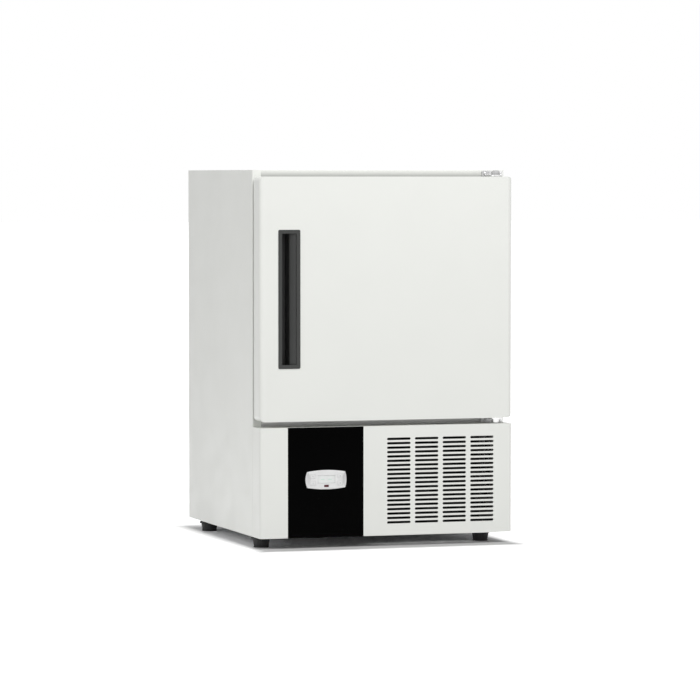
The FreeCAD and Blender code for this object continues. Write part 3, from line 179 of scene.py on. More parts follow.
def softRubber(name, colour):
    finish, tree, shader = startFinish(name, Specular_IOR_Level=0.35)
    bloom = grain(tree, 12 * mm)
    base = mixed(tree, spread(tree, bloom, 0, 1), colour, shaded(colour, 1.18))
    plug(tree, shader, Base_Color=base, Roughness=spread(tree, bloom, 0.62, 0.78))
    relief(tree, shader, (grain(tree, 0.8 * mm), 0.02 * mm))
    return finish


def cutFoam(name, colour):
    finish, tree, shader = startFinish(name, Specular_IOR_Level=0.2)
    bubble = cells(tree, 1.1 * mm, "Distance")
    # the pore hollows are made darker: painted shade in them
    base = mixed(tree, bubble, shaded(colour, 0.75), colour)
    base = mixed(tree, spread(tree, grain(tree, 60 * mm), 0, 0.5), base, shaded(colour, 0.88))
    plug(tree, shader, Base_Color=base, Roughness=spread(tree, bubble, 0.85, 0.95, 0, 1))
    relief(tree, shader, (bubble, 0.3 * mm))
    return finish


def drawnTube(name, colour, tarnish=(0.30, 0.16, 0.10)):
    finish, tree, shader = startFinish(name, Metallic=1.0)
    patches = grain(tree, 18 * mm, detail=5)
    base = mixed(tree, spread(tree, patches, 0, 0.75, 0.45, 0.7), colour, tarnish)
    plug(tree, shader, Base_Color=base, Roughness=spread(tree, patches, 0.24, 0.46))
    relief(tree, shader, (grain(tree, 1.5 * mm), 0.01 * mm))
    return finish


def clearGloss(name, colour, specular=0.5, haze=0.06, **constants):
    # polished plastic with a light haze of fingerprints
    finish, tree, shader = startFinish(name, Specular_IOR_Level=specular, **constants)
    smear = grain(tree, 14 * mm, (1, 1, 2.5), detail=4)
    base = mixed(tree, spread(tree, smear, 0, 1), colour, shaded(colour, 1.1))
    plug(tree, shader, Base_Color=base, Roughness=spread(tree, smear, haze, haze + 0.1, 0.4, 0.7))
    relief(tree, shader, (grain(tree, 40 * mm, detail=1), 0.02 * mm))
    return finish


# What a user would change: the colours, and the painted shade on the strip over the door

colours = {
    "paint": (0.82, 0.83, 0.795), "zinc": (0.6, 0.61, 0.62), "stainless": (0.7, 0.7, 0.69),
    "hingeSteel": (0.66, 0.66, 0.66), "foam": (0.86, 0.78, 0.55), "fascia": (0.0003, 0.0003, 0.0003),
    "grip": (0.023, 0.024, 0.023), "controller": (0.79, 0.79, 0.79), "cap": (0.42, 0.42, 0.42),
    "black": (0.018, 0.018, 0.018), "window": (0.66, 0.68, 0.67), "lens": (0.075, 0.006, 0.014),
    "gasket": (0.3, 0.3, 0.3), "fan": (0.62, 0.63, 0.64), "motor": (0.025, 0.025, 0.027),
    "fins": (0.75, 0.76, 0.77), "copper": (0.72, 0.38, 0.24), "litMark": (0.45, 0.62, 0.53),
    "printGrey": (0.3, 0.31, 0.32), "darkBehindSlots": (0.012, 0.012, 0.012), "doorSteel": (0.8, 0.8, 0.79),
}
stripShade = {"heights": (836 * mm, 850 * mm), "depths": (-230 * mm, -210 * mm), "tone": 0.55}
finishes = {
    "white_paint": powderCoat("whitePaint", colours["paint"]),
    "galvanised_steel": galvanised("zincSheet", colours["zinc"]),
    "stainless_steel": brushedSteel("stainlessAlongDepth", colours["stainless"], "y"),
    "hinge_steel": brushedSteel("platedSteel", colours["hingeSteel"], "x", (0.3, 0.45)),
    "foam": cutFoam("pourFoam", colours["foam"]),
    "black_fascia": clearGloss("blackBand", colours["fascia"], specular=0.01, haze=0.2),
    "black_grip": mouldedPlastic("gripBlack", colours["grip"], 0.5, specular=0.35),
    "light_plastic": mouldedPlastic("controllerGrey", colours["controller"], 0.4),
    "grey_plastic": mouldedPlastic("capGrey", colours["cap"], 0.5),
    "dark_plastic": mouldedPlastic("mouldedBlack", colours["black"], 0.55, specular=0.35),
    "display_window": clearGloss("displayWindow", colours["window"], Coat_Weight=0.3, Coat_Roughness=0.05),
    "red_lens": clearGloss("redLens", colours["lens"], specular=0.25, haze=0.2),
    "gasket_rubber": softRubber("gasketGrey", colours["gasket"]),
    "fan_metal": brushedSteel("fanAluminium", colours["fan"], "x", (0.35, 0.5)),
    "motor_black": mouldedPlastic("motorPaint", colours["motor"], 0.42, 1.4 * mm, 0.03 * mm),
    "coil_aluminium": drawnTube("finStock", colours["fins"], tarnish=(0.5, 0.5, 0.5)),
    "copper": drawnTube("copperTube", colours["copper"]),
}
stainlessUpright = brushedSteel("stainlessUpright", colours["stainless"], "z")
# the collar's steel is darkened: painted shade in the gap between the door and the lower panel
collarSteelPaintedShade = brushedSteel("collarSteelPaintedShade", shaded(colours["stainless"], 0.62), "x", (0.4, 0.55))
doorSteel = brushedSteel("doorSteel", colours["doorSteel"], "z", (0.4, 0.55), metallic=0.5)
# the top panel's paint with a painted shade on its front strip, darker towards the door
stripPaintedShade = powderCoat("stripPaintedShade", colours["paint"], stripShade)
# a darker copy of the controller plastic for the sloped end facets: painted shade
facetPaintedShade = mouldedPlastic("facetPaintedShade", shaded(colours["controller"], 0.8), 0.45)
litMark = clearGloss("litMark", colours["litMark"])
# black behind the front panel's slots: the condenser coil is black, and the copper discharge pipe is shown black
# too, as painted shade
blackBehindSlots = mouldedPlastic("blackBehindSlots", colours["darkBehindSlots"], 0.6)
greyPrint = mouldedPlastic("greyPrint", colours["printGrey"], 0.6)

slotOf = {part["node"]: part["material_slot"] for part in frame["record"]["subparts"]}
ownFinish = {"evaporator_cover": stainlessUpright, "door_inner_panel": doorSteel,
             "front_collar": collarSteelPaintedShade, "discharge_pipe": blackBehindSlots, "top_panel": stripPaintedShade}
for nodeName, solid in frame["nodes"].items():
    solid.data.materials.clear()
    solid.data.materials.append(ownFinish.get(nodeName, finishes[slotOf[nodeName]]))
print("finishes ready:", len(bpy.data.materials))


# Modelling helpers

def addBlock(bm, low, high):
    low, high = Vector(low), Vector(high)
    place = Matrix.Translation((low + high) / 2) @ Matrix.Diagonal((*(high - low), 1))
    return bmesh.ops.create_cube(bm, size=1, matrix=place)["verts"]


def addRod(bm, start, end, radius, sides=24, endRadius=None):
    start, end = Vector(start), Vector(end)
    turned = (end - start).to_track_quat("Z", "Y").to_matrix().to_4x4()
    place = Matrix.Translation((start + end) / 2) @ turned
    last = radius if endRadius is None else endRadius
    rod = bmesh.ops.create_cone(bm, cap_ends=True, segments=sides, radius1=radius, radius2=last,
                                depth=(end - start).length, matrix=place)
    return rod["verts"]


def lathe(bm, profile, centre, axis, steps=32):
    # profile holds (radius, height along the axis) pairs; it starts and ends on the axis
    centre, axis = Vector(centre), Vector(axis).normalized()
    side = axis.orthogonal().normalized()
    known = set(bm.verts)
    spots = [bm.verts.new(centre + side * radius + axis * height) for radius, height in profile]
    line = [bm.edges.new(pair) for pair in zip(spots, spots[1:])]
    bmesh.ops.spin(bm, geom=spots + line, cent=centre, axis=axis, angle=math.tau, steps=steps,
                   use_merge=True)
    bmesh.ops.remove_doubles(bm, verts=[v for v in bm.verts if v not in known], dist=1e-6)
    return [v for v in bm.verts if v not in known]


def roundEdges(bm, edges, width, segments=3):
    bmesh.ops.bevel(bm, geom=list(edges), offset=width, offset_type="OFFSET", segments=segments,
                    profile=0.5, affect="EDGES", clamp_overlap=True, material=-1)


def edgesOf(verts):
    chosen = set(verts)
    return {e for v in verts for e in v.link_edges if e.other_vert(v) in chosen}


def alongAxis(edge, axis):
    step = edge.verts[1].co - edge.verts[0].co
    return abs(step["xyz".index(axis)]) > 0.999 * step.length


def finishPiece(name, bm, finish, body, replaced=(), sharp=35):
    bmesh.ops.remove_doubles(bm, verts=bm.verts, dist=1e-7)
    bmesh.ops.recalc_face_normals(bm, faces=bm.faces)
    mesh = bpy.data.meshes.new(name)
    bm.to_mesh(mesh)
    bm.free()
    mesh.polygons.foreach_set("use_smooth", [True] * len(mesh.polygons))
    mesh.set_sharp_from_angle(angle=math.radians(sharp))
    for surface in finish if isinstance(finish, list) else [finish]:
        mesh.materials.append(surface)
    piece = bpy.data.objects.new(name, mesh)
    bpy.context.scene.collection.objects.link(piece)
    weights = piece.modifiers.new("WeightedNormals", "WEIGHTED_NORMAL")
    weights.keep_sharp = True
    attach(piece, body)
    if replaced:
        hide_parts(*replaced)


# Door grip: a rim on the door's face round a deep channel, with a shallow ramp beside it

gripCup = {"rimProud": 1.2 * mm, "rimReach": 3 * mm, "rimCorner": 5 * mm, "border": 8.4 * mm, "wall": 2 * mm,
           "lip": 3.2 * mm, "rampDepth": 9.2 * mm, "channelWidth": 17 * mm, "undercut": 2.5 * mm,
           "soften": 0.8 * mm}


def cutAt(bm, axis, *levels):
    normal = Vector([float(name == axis) for name in "xyz"])
    for level in levels:
        bmesh.ops.bisect_plane(bm, geom=[*bm.verts, *bm.edges, *bm.faces], plane_co=normal * level,
                               plane_no=normal, dist=1e-7)


def facesWithin(bm, level, low, high):
    # faces square to Y at a level, with their middles inside a rectangle of X and Z
    middles = [(f, f.calc_center_median()) for f in bm.faces if abs(f.normal.y) > 0.99]
    return [f for f, m in middles if abs(m.y - level) < 0.01 * mm and low[0] < m.x < high[0]
            and low[1] < m.z < high[1]]


def sinkFaces(bm, faces, depth):
    sunk = bmesh.ops.extrude_face_region(bm, geom=faces)["geom"]
    bmesh.ops.delete(bm, geom=faces, context="FACES")
    verts = [v for v in sunk if isinstance(v, bmesh.types.BMVert)]
    bmesh.ops.translate(bm, verts=verts, vec=(0, depth, 0))
    return verts


def gripPiece():
    low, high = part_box("door_grip")
    g = gripCup
    face, reach = low.y + g["rimProud"], g["rimReach"]
    left, right = low.x + g["border"], high.x - g["border"]
    bottom, top = low.z + g["border"], high.z - g["border"]
    split = left + g["channelWidth"]
    bm = bmesh.new()
    addBlock(bm, low, (high.x, face, high.z))
    cutAt(bm, "x", low.x + reach, left, split, right, high.x - reach)
    cutAt(bm, "z", low.z + reach, bottom, top, high.z - reach)
    bm.normal_update()
    sinkFaces(bm, facesWithin(bm, face, (low.x + reach, low.z + reach), (high.x - reach, high.z - reach)),
              high.y - face)
    bm.normal_update()
    channel = facesWithin(bm, low.y, (left, bottom), (split, top))
    ramp = facesWithin(bm, low.y, (split, bottom), (right, top))
    sunk = sinkFaces(bm, channel, high.y - g["wall"] - low.y)
    leftWall = [v for v in sunk if v.co.x < left + 1 * mm]
    bmesh.ops.translate(bm, verts=leftWall, vec=(-g["undercut"], 0, 0))
    tilted = sinkFaces(bm, ramp, g["lip"])
    for vert in tilted:
        if vert.co.x < split + 1 * mm:
            vert.co.y = low.y + g["rampDepth"]
    bmesh.ops.remove_doubles(bm, verts=bm.verts, dist=1e-6)
    bm.normal_update()
    corners = [e for e in bm.edges if alongAxis(e, "y") and e.calc_face_angle(0) > 1
               and abs(e.verts[0].co.x - (low.x + high.x) / 2) > (high.x - low.x) / 2 - 1e-6]
    roundEdges(bm, corners, g["rimCorner"], 6)
    creases = [e for e in bm.edges if e.is_manifold and e.calc_face_angle(0) > math.radians(28)
               and min(v.co.y for v in e.verts) < face + g["rampDepth"] + 1 * mm
               and (e.calc_length() > 1.5 * mm or min(v.co.y for v in e.verts) < face - 0.5 * mm)]
    roundEdges(bm, creases, g["soften"], 3)
    finishPiece("grip_cup", bm, finishes["black_grip"], "door", ["door_grip"])


gripPiece()
print("door grip modelled")


# Levelling feet: threaded stud, thin flange and a tapered, ribbed base

footShape = {"base": 17.5 * mm, "neck": 20.3 * mm, "stud": 4.9 * mm, "flange": 3.6 * mm, "pad": 2.2 * mm,
             "ribs": 28, "ribDepth": 0.7 * mm, "thread": 1.5 * mm, "studRise": 27.7 * mm}


def footPiece(name):
    low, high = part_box(name)
    centre = Vector(((low.x + high.x) / 2, (low.y + high.y) / 2, low.z))
    flange = (high.x - low.x) / 2
    s = footShape
    base, neck, stud = s["base"], s["neck"], s["stud"]
    top = high.z - low.z - s["studRise"]  # just under the base tray
    bm = bmesh.new()
    profile = [(0, 0), (base - 1 * mm, 0), (base, 0.7 * mm), (base, s["pad"]),
               (base - 0.8 * mm, s["pad"] + 0.5 * mm),
               (neck - 1 * mm, top - s["flange"] - 1 * mm), (neck, top - s["flange"]),
               (flange - 0.6 * mm, top - s["flange"]), (flange, top - s["flange"] + 0.7 * mm),
               (flange, top - 0.6 * mm), (flange - 0.6 * mm, top), (stud, top)]
    height = top
    while height + s["thread"] < high.z - low.z - 1 * mm:
        profile += [(stud - 0.7 * mm, height + s["thread"] / 2), (stud, height + s["thread"])]
        height += s["thread"]
    profile += [(stud - 1 * mm, high.z - low.z), (0, high.z - low.z)]
    lathe(bm, profile, centre, (0, 0, 1), steps=2 * s["ribs"])
    for vert in bm.verts:  # every other upright line of the taper stands proud as a rib
        step = vert.co - centre
        if s["pad"] < step.z < top - s["flange"] - 0.5 * mm and step.xy.length > base - 2 * mm:
            turn = math.atan2(step.y, step.x) / math.tau * 2 * s["ribs"]
            if round(turn) % 2:
                vert.co.xy -= step.xy.normalized() * s["ribDepth"]
    finishPiece(name + "_moulding", bm, finishes["dark_plastic"], name, [name], sharp=28)


for footName in ("foot_front_left", "foot_front_right", "foot_rear_left", "foot_rear_right"):
    footPiece(footName)
print("feet modelled")


# Controller: a barrel-shaped bezel with a sloped lens facet at each end, and pockets for what sits in it

controllerShape = {"endBulge": 3.8 * mm, "edgeBulge": 3.5 * mm, "facetWidth": 9.8 * mm,
                   "facetFall": 2.6 * mm, "facetDish": 1.1 * mm, "rim": 1.4 * mm, "rimSteps": 5,
                   "pocketDepth": 4.6 * mm, "gap": 0.3 * mm, "pocketCorner": 1.3 * mm,
                   "keyWidth": 11 * mm, "keyHeight": 9 * mm, "corner": 1.2 * mm, "printProud": 0.12 * mm}
keyMarks = {"ring": 1.5 * mm, "wire": 0.16 * mm, "bar": 0.15 * mm, "barReach": 1.9 * mm, "arrow": 1.8 * mm}
displayMarks = {"apart": 17 * mm, "long": 8.4 * mm, "tall": 1.5 * mm, "corner": 0.6 * mm}


def controllerOpenings():
    c = controllerShape
    openings = []
    for name in ("controller_display", "indicator_lens", "key_power", "key_cycle", "key_down", "key_up"):
        low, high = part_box(name)
        middle, half = (low + high) / 2, (high - low) / 2
        if name.startswith("key"):
            half = Vector((c["keyWidth"] / 2, 0, c["keyHeight"] / 2))
        openings.append((middle, half + Vector((c["gap"], 0, c["gap"]))))
    return openings


def bezelPiece():
    low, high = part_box("controller_bezel")
    c = controllerShape
    middle = (low + high) / 2
    wide = middle.x - low.x - c["endBulge"] - c["rim"]
    tall = middle.z - low.z - c["edgeBulge"] - c["rim"]
    innerEnd = high.x - c["rim"] - c["facetWidth"] - middle.x + 1 * mm
    innerEdge = tall - 0.35 * mm
    flat = Matrix.Rotation(math.radians(90), 4, "X") @ Matrix.Diagonal((wide, tall, 1, 1))
    bm = bmesh.new()
    bmesh.ops.create_grid(bm, x_segments=40, y_segments=20, size=1,
                          matrix=Matrix.Translation((middle.x, low.y, middle.z)) @ flat)
    ends = [innerEnd + (wide - innerEnd) * share / 8 for share in range(8)]
    cuts = [(0, side * end) for end in ends for side in (-1, 1)]
    cuts += [(2, side * innerEdge) for side in (-1, 1)]
    for spot, half in controllerOpenings():
        for axis in (0, 2):
            cuts += [(axis, spot[axis] - middle[axis] + side * half[axis]) for side in (-1, 1)]
    for axis, level in cuts:
        point, normal = middle.copy(), Vector((0, 0, 0))
        point[axis] += level
        normal[axis] = 1
        bmesh.ops.bisect_plane(bm, geom=[*bm.verts, *bm.edges, *bm.faces], plane_co=point, plane_no=normal,
                               dist=1e-7)
    for vert in bm.verts:  # bow the four sides outwards and slope the ends back
        x, z = vert.co.x - middle.x, vert.co.z - middle.z
        bowEnd = 1 - (z / tall) ** 2
        if abs(x) > innerEnd - 1e-6:
            share = (abs(x) - innerEnd) / (wide - innerEnd)
            inner = wide - (wide - innerEnd) * bowEnd
            outer = wide + c["endBulge"] * bowEnd
            vert.co.x = middle.x + math.copysign(inner + share * (outer - inner), x)
            vert.co.y += (c["facetFall"] * share + c["facetDish"] * 4 * share * (1 - share)) * bowEnd
        if abs(z) > innerEdge:
            bowEdge = max(0, 1 - ((vert.co.x - middle.x) / wide) ** 2)
            share = (abs(z) - innerEdge) / (tall - innerEdge)
            vert.co.z = middle.z + math.copysign(abs(z) + share * c["edgeBulge"] * bowEdge, z)
    bmesh.ops.remove_doubles(bm, verts=bm.verts, dist=1e-6)
    facets = [f for f in bm.faces if max(v.co.y for v in f.verts) > low.y + 0.01 * mm]
    for spot, half in controllerOpenings():
        middles = [(f, f.calc_center_median()) for f in bm.faces]
        floor = [f for f, m in middles if m.y < low.y + 0.1 * mm
                 and all(abs((m - spot)[axis]) < half[axis] for axis in (0, 2))]
        sunk = bmesh.ops.extrude_face_region(bm, geom=floor)["geom"]
        bmesh.ops.delete(bm, geom=floor, context="FACES")
        bmesh.ops.translate(bm, verts=[v for v in sunk if isinstance(v, bmesh.types.BMVert)],
                            vec=(0, c["pocketDepth"], 0))
    uprights = [e for e in bm.edges if e.is_manifold and alongAxis(e, "y") and e.calc_face_angle() > 1]
    roundEdges(bm, uprights, c["pocketCorner"], 4)
    steps = c["rimSteps"]
    for step in range(1, steps + 1):  # quarter-round rim, then straight back to the fascia
        turn = math.radians(90) * step / steps
        rim = [e for e in bm.edges if e.is_boundary]
        grown = bmesh.ops.extrude_edge_only(bm, edges=rim)["geom"]
        ring = [v for v in grown if isinstance(v, bmesh.types.BMVert)]
        before = math.radians(90) * (step - 1) / steps
        gain = c["rim"] * (math.sin(turn) - math.sin(before))
        halfX, halfZ = high.x - middle.x - c["rim"], high.z - middle.z - c["rim"]
        grow = [1 + gain / (half + c["rim"] * math.sin(before)) for half in (halfX, halfZ)]
        place = Matrix.Translation(-middle)
        bmesh.ops.scale(bm, verts=ring, vec=(grow[0], 1, grow[1]), space=place)
        bmesh.ops.translate(bm, verts=ring, vec=(0, c["rim"] * (math.cos(before) - math.cos(turn)), 0))
    rim = [e for e in bm.edges if e.is_boundary]
    grown = bmesh.ops.extrude_edge_only(bm, edges=rim)["geom"]
    for vert in grown:
        if isinstance(vert, bmesh.types.BMVert):
            vert.co.y = high.y
    bmesh.ops.holes_fill(bm, edges=[e for e in bm.edges if e.is_boundary], sides=0)
    # the end facets take the darker copy of the bezel plastic: painted shade
    for face in facets:
        if face.is_valid:
            face.material_index = 1
    finishPiece("controller_face", bm, [finishes["light_plastic"], facetPaintedShade], "cabinet",
                ["controller_bezel"], sharp=14)


def markPrint(bm, known):
    for face in bm.faces:
        if face not in known:
            face.material_index = 1


def addRing(bm, centre, radius, wire):
    spots = [(radius - wire, 0), (radius + wire, 0), (radius + wire, 2 * wire), (radius - wire, 2 * wire)]
    verts = [bm.verts.new(Vector(centre) + Vector((r, h, 0))) for r, h in spots]
    ring = [bm.edges.new((a, b)) for a, b in zip(verts, verts[1:] + verts[:1])]
    bmesh.ops.spin(bm, geom=verts + ring, cent=centre, axis=(0, 1, 0), angle=math.tau, steps=28,
                   use_merge=True)


def keyPiece(name, icon):
    low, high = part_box(name)
    c, k = controllerShape, keyMarks
    middle = (low + high) / 2
    face = low.y + c["printProud"]
    half = Vector((c["keyWidth"] / 2, 0, c["keyHeight"] / 2))
    bm = bmesh.new()
    head = addBlock(bm, (middle.x - half.x, face, middle.z - half.z),
                    (middle.x + half.x, high.y, middle.z + half.z))
    roundEdges(bm, [e for e in edgesOf(head) if alongAxis(e, "y")], c["corner"], 5)
    front = min(bm.faces, key=lambda f: f.calc_center_median().y)
    roundEdges(bm, front.edges, 0.5 * mm, 3)
    known = set(bm.faces)
    deep = face + 0.2 * mm
    spot = Vector((middle.x, low.y, middle.z))
    if icon == "power":
        addRing(bm, spot, k["ring"], k["wire"])
        addBlock(bm, spot + Vector((-k["wire"], 0, 0.5 * mm)), (spot.x + k["wire"], deep, spot.z + 2.4 * mm))
    elif icon == "cycle":  # a snow crystal of three crossed bars
        for turn in (0, 60, 120):
            bar = addBlock(bm, spot + Vector((-k["bar"], 0, -k["barReach"])),
                           (spot.x + k["bar"], deep, spot.z + k["barReach"]))
            bmesh.ops.rotate(bm, verts=bar, cent=spot, matrix=Matrix.Rotation(math.radians(turn), 3, "Y"))
    else:
        arrow = addRod(bm, spot, (spot.x, deep, spot.z), k["arrow"], sides=3)
        if icon == "down":
            bmesh.ops.rotate(bm, verts=arrow, cent=spot, matrix=Matrix.Rotation(math.radians(180), 3, "Y"))
    markPrint(bm, known)
    finishPiece(name + "_cap", bm, [finishes["light_plastic"], greyPrint], name, [name])


def displayPiece():
    low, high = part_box("controller_display")
    c, d = controllerShape, displayMarks
    face = low.y + c["printProud"]
    bm = bmesh.new()
    pane = addBlock(bm, (low.x, face, low.z), (high.x, high.y - 0.8 * mm, high.z))
    roundEdges(bm, [e for e in edgesOf(pane) if alongAxis(e, "y")], c["corner"], 5)
    front = min(bm.faces, key=lambda f: f.calc_center_median().y)
    roundEdges(bm, front.edges, 0.4 * mm, 3)
    known = set(bm.faces)
    middle = (low + high) / 2
    for side in (-1, 1):  # a lit dash in each of two digits
        x = middle.x + side * d["apart"] / 2
        start = (x - d["long"] / 2, low.y, middle.z - d["tall"] / 2)
        dash = addBlock(bm, start, (x + d["long"] / 2, face + 0.1 * mm, middle.z + d["tall"] / 2))
        roundEdges(bm, [e for e in edgesOf(dash) if alongAxis(e, "y")], d["corner"], 2)
    markPrint(bm, known)
    finishPiece("display_window", bm, [finishes["display_window"], litMark], "cabinet",
                ["controller_display"])


def lampPiece():
    low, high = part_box("indicator_lens")
    bm = bmesh.new()
    lens = addBlock(bm, low, (high.x, high.y - 0.8 * mm, high.z))
    roundEdges(bm, [e for e in edgesOf(lens) if alongAxis(e, "y")], controllerShape["corner"], 5)
    front = min(bm.faces, key=lambda f: f.calc_center_median().y)
    roundEdges(bm, front.edges, 1.1 * mm, 4)
    finishPiece("status_lens", bm, finishes["red_lens"], "cabinet", ["indicator_lens"])


bezelPiece()
for keyIcon in ("power", "cycle", "down", "up"):
    keyPiece("key_" + keyIcon, keyIcon)
displayPiece()
lampPiece()
print("controller modelled")


# Hinge screws and cap, and the other screws that hold sheet parts

screwShape = {"head": 3.5 * mm, "rise": 2.4 * mm, "socket": 1.7 * mm, "socketDepth": 1.5 * mm}
hingeShape = {"screwHeights": {"upper": 842.5 * mm, "lower": 278 * mm}, "fromLeft": 8 * mm,
              "fromRight": 6 * mm, "plate": 3 * mm, "skirt": 0.9 * mm, "dome": 6 * mm}
screwInsets = {"rear_grille": 9 * mm, "evaporator_cover": 12 * mm, "condenser_shroud": 8 * mm,
               "electrical_box_cover": 9 * mm}
screwShares = (0.04, 0.5, 0.96)  # places along a long edge


def addScrew(bm, spot, axis, scale=1.0):
    # domed head with a six-sided socket; spot is on the surface that it holds
    s = {key: size * scale for key, size in screwShape.items()}
    floor = s["rise"] - s["socketDepth"]
    profile = [(0, floor), (s["socket"], floor), (s["socket"] * 1.03, s["rise"]),
               (s["head"] * 0.68, s["rise"] * 0.97), (s["head"] * 0.88, s["rise"] * 0.78),
               (s["head"], s["rise"] * 0.45), (s["head"], 0), (0, 0)]
    spot, axis = Vector(spot), Vector(axis).normalized()
    side = axis.orthogonal().normalized()
    for vert in lathe(bm, profile, spot, axis, steps=24):
        flat = vert.co - spot - axis * (vert.co - spot).dot(axis)
        if 0.9 * s["socket"] < flat.length < 1.1 * s["socket"]:
            turn = math.atan2(flat.dot(axis.cross(side)), flat.dot(side)) % (math.tau / 6) - math.tau / 12
            vert.co -= flat * (1 - math.cos(math.tau / 12) / math.cos(turn))


def screwGroup(name, spots, axis, body, slot, replaced=(), scale=1.0):
    bm = bmesh.new()
    for spot in spots:
        addScrew(bm, spot, axis, scale)
    finishPiece(name, bm, finishes[slot], body, replaced, sharp=40)


def hingeTrim():
    h = hingeShape
    for name, z in h["screwHeights"].items():
        low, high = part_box(name + "_hinge_bracket")
        y = high.y - h["plate"]
        spots = [(low.x + h["fromLeft"], y, z), (high.x - h["fromRight"], y, z)]
        screwGroup(f"{name}_hinge_screws", spots, (0, -1, 0), "cabinet", "hinge_steel", ["hinge_screws"])
    low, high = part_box("hinge_cap")
    tall, wide = high.z - low.z, (high.x - low.x) / 2
    skirt, dome = h["skirt"], h["dome"]
    profile = [(0, 0), (wide - 0.5 * mm, 0), (wide, 0.5 * mm), (wide, skirt + 0.8 * mm),
               (wide - 0.5 * mm, skirt + 1 * mm), (wide - 0.5 * mm, skirt + 1.5 * mm),
               (wide, skirt + 1.8 * mm)]
    for step in range(9):
        turn = math.radians(90) * step / 8
        profile.append((wide - dome + dome * math.cos(turn), tall - dome + dome * math.sin(turn)))
    profile.append((0, tall))
    bm = bmesh.new()
    lathe(bm, profile, ((low.x + high.x) / 2, (low.y + high.y) / 2, low.z), (0, 0, 1), steps=40)
    finishPiece("hinge_dome", bm, finishes["grey_plastic"], "cabinet", ["hinge_cap"])


def sheetScrews():
    low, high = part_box("rear_grille")
    inset = screwInsets["rear_grille"]
    xs = [low.x + (high.x - low.x) * share for share in screwShares]
    spots = [(x, high.y, z) for x in xs for z in (low.z + inset, high.z - inset)]
    screwGroup("grille_screws", spots, (0, 1, 0), "cabinet", "hinge_steel", scale=1.1)
    low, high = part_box("evaporator_cover")
    inset = screwInsets["evaporator_cover"]
    zs = [low.z + (high.z - low.z) * share for share in screwShares]
    spots = [(x, low.y, z) for x in (low.x + inset, high.x - inset) for z in zs]
    screwGroup("cover_screws", spots, (0, -1, 0), "cabinet", "stainless_steel")
    low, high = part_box("condenser_shroud")
    inset = screwInsets["condenser_shroud"]
    xs, zs = (low.x + inset, high.x - inset), (low.z + inset, high.z - inset)
    spots = [(x, high.y, z) for x in xs for z in zs]
    screwGroup("shroud_screws", spots, (0, 1, 0), "cabinet", "hinge_steel")
    low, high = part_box("electrical_box_cover")
    inset = screwInsets["electrical_box_cover"]
    xs, ys = (low.x + inset, high.x - inset), (low.y + inset, high.y - inset)
    spots = [(x, y, high.z) for x in xs for y in ys]
    screwGroup("box_screws", spots, (0, 0, 1), "cabinet", "hinge_steel", scale=0.8)


hingeTrim()
sheetScrews()
print("screws and hinge cap modelled")


# Door gasket: rings of one profile, bridged in turn. On the two flat sides bridge_loops joins
# opposite corners, so some faces cross the door: a known fault that is still to be mended

gasketShape = {"width": 16 * mm, "fold": 0.9 * mm, "soften": 1.6 * mm}


def gasketPiece():
    low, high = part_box("door_gasket")
    g = gasketShape
    wide, fold, deep = g["width"], g["fold"], high.y - low.y
    side = [(fold, 0), (fold, 0.12), (0, 0.24), (fold, 0.36), (fold, 0.44), (0, 0.56), (0, 0.86),
            (fold * 0.5, 0.95), (g["soften"], 1)]
    profile = [(inset, low.y + share * deep) for inset, share in side]
    profile += [(wide - inset, y) for inset, y in reversed(profile)]
    bm = bmesh.new()
    loops = []
    for inset, y in profile:
        corners = [(low.x + inset, low.z + inset), (high.x - inset, low.z + inset),
                   (high.x - inset, high.z - inset), (low.x + inset, high.z - inset)]
        verts = [bm.verts.new((x, y, z)) for x, z in corners]
        loops.append([bm.edges.new(pair) for pair in zip(verts, verts[1:] + verts[:1])])
    for first, second in zip(loops, loops[1:] + loops[:1]):
        bmesh.ops.bridge_loops(bm, edges=first + second)
    finishPiece("door_seal", bm, finishes["gasket_rubber"], "door", ["door_gasket"],
                sharp=50)


gasketPiece()
print("door gasket modelled")


# Fan wheels: swept, twisted blades on a cup-shaped hub

fanShape = {"hub": 26 * mm, "reach": 97.5 * mm, "depth": 20 * mm, "blades": 5, "rootChord": 34 * mm,
            "tipChord": 62 * mm, "rootPitch": 34, "tipPitch": 15, "camber": 0.07, "sweep": 14,
            "sheet": 1.2 * mm, "shaft": 3 * mm}
fanHeights = {"evaporator_fan": 561 * mm, "condenser_fan": 142 * mm}


def addBlade(bm, centre, turn):
    f = fanShape
    known = set(bm.verts)
    bmesh.ops.create_grid(bm, x_segments=14, y_segments=10, size=0.5)
    blade = [v for v in bm.verts if v not in known]
    for vert in blade:
        across, out = vert.co.x, vert.co.y + 0.5
        radius = f["hub"] - 3 * mm + out * (f["reach"] - f["hub"] + 3 * mm)
        chord = f["rootChord"] + (f["tipChord"] - f["rootChord"]) * out
        chord *= 1 - 0.35 * max(0, out - 0.8) ** 2 / 0.04 * abs(2 * across) ** 3  # rounded tips
        pitch = math.radians(f["rootPitch"] + (f["tipPitch"] - f["rootPitch"]) * out)
        bow = f["camber"] * chord * (1 - 4 * across ** 2)
        along = across * chord * math.cos(pitch) - bow * math.sin(pitch)
        axial = across * chord * math.sin(pitch) + bow * math.cos(pitch)
        angle = turn + along / radius + math.radians(f["sweep"]) * out ** 2
        vert.co = centre + Vector((radius * math.sin(angle), axial, radius * math.cos(angle)))
    faces = {face for vert in blade for face in vert.link_faces}
    bmesh.ops.solidify(bm, geom=list(faces), thickness=f["sheet"])


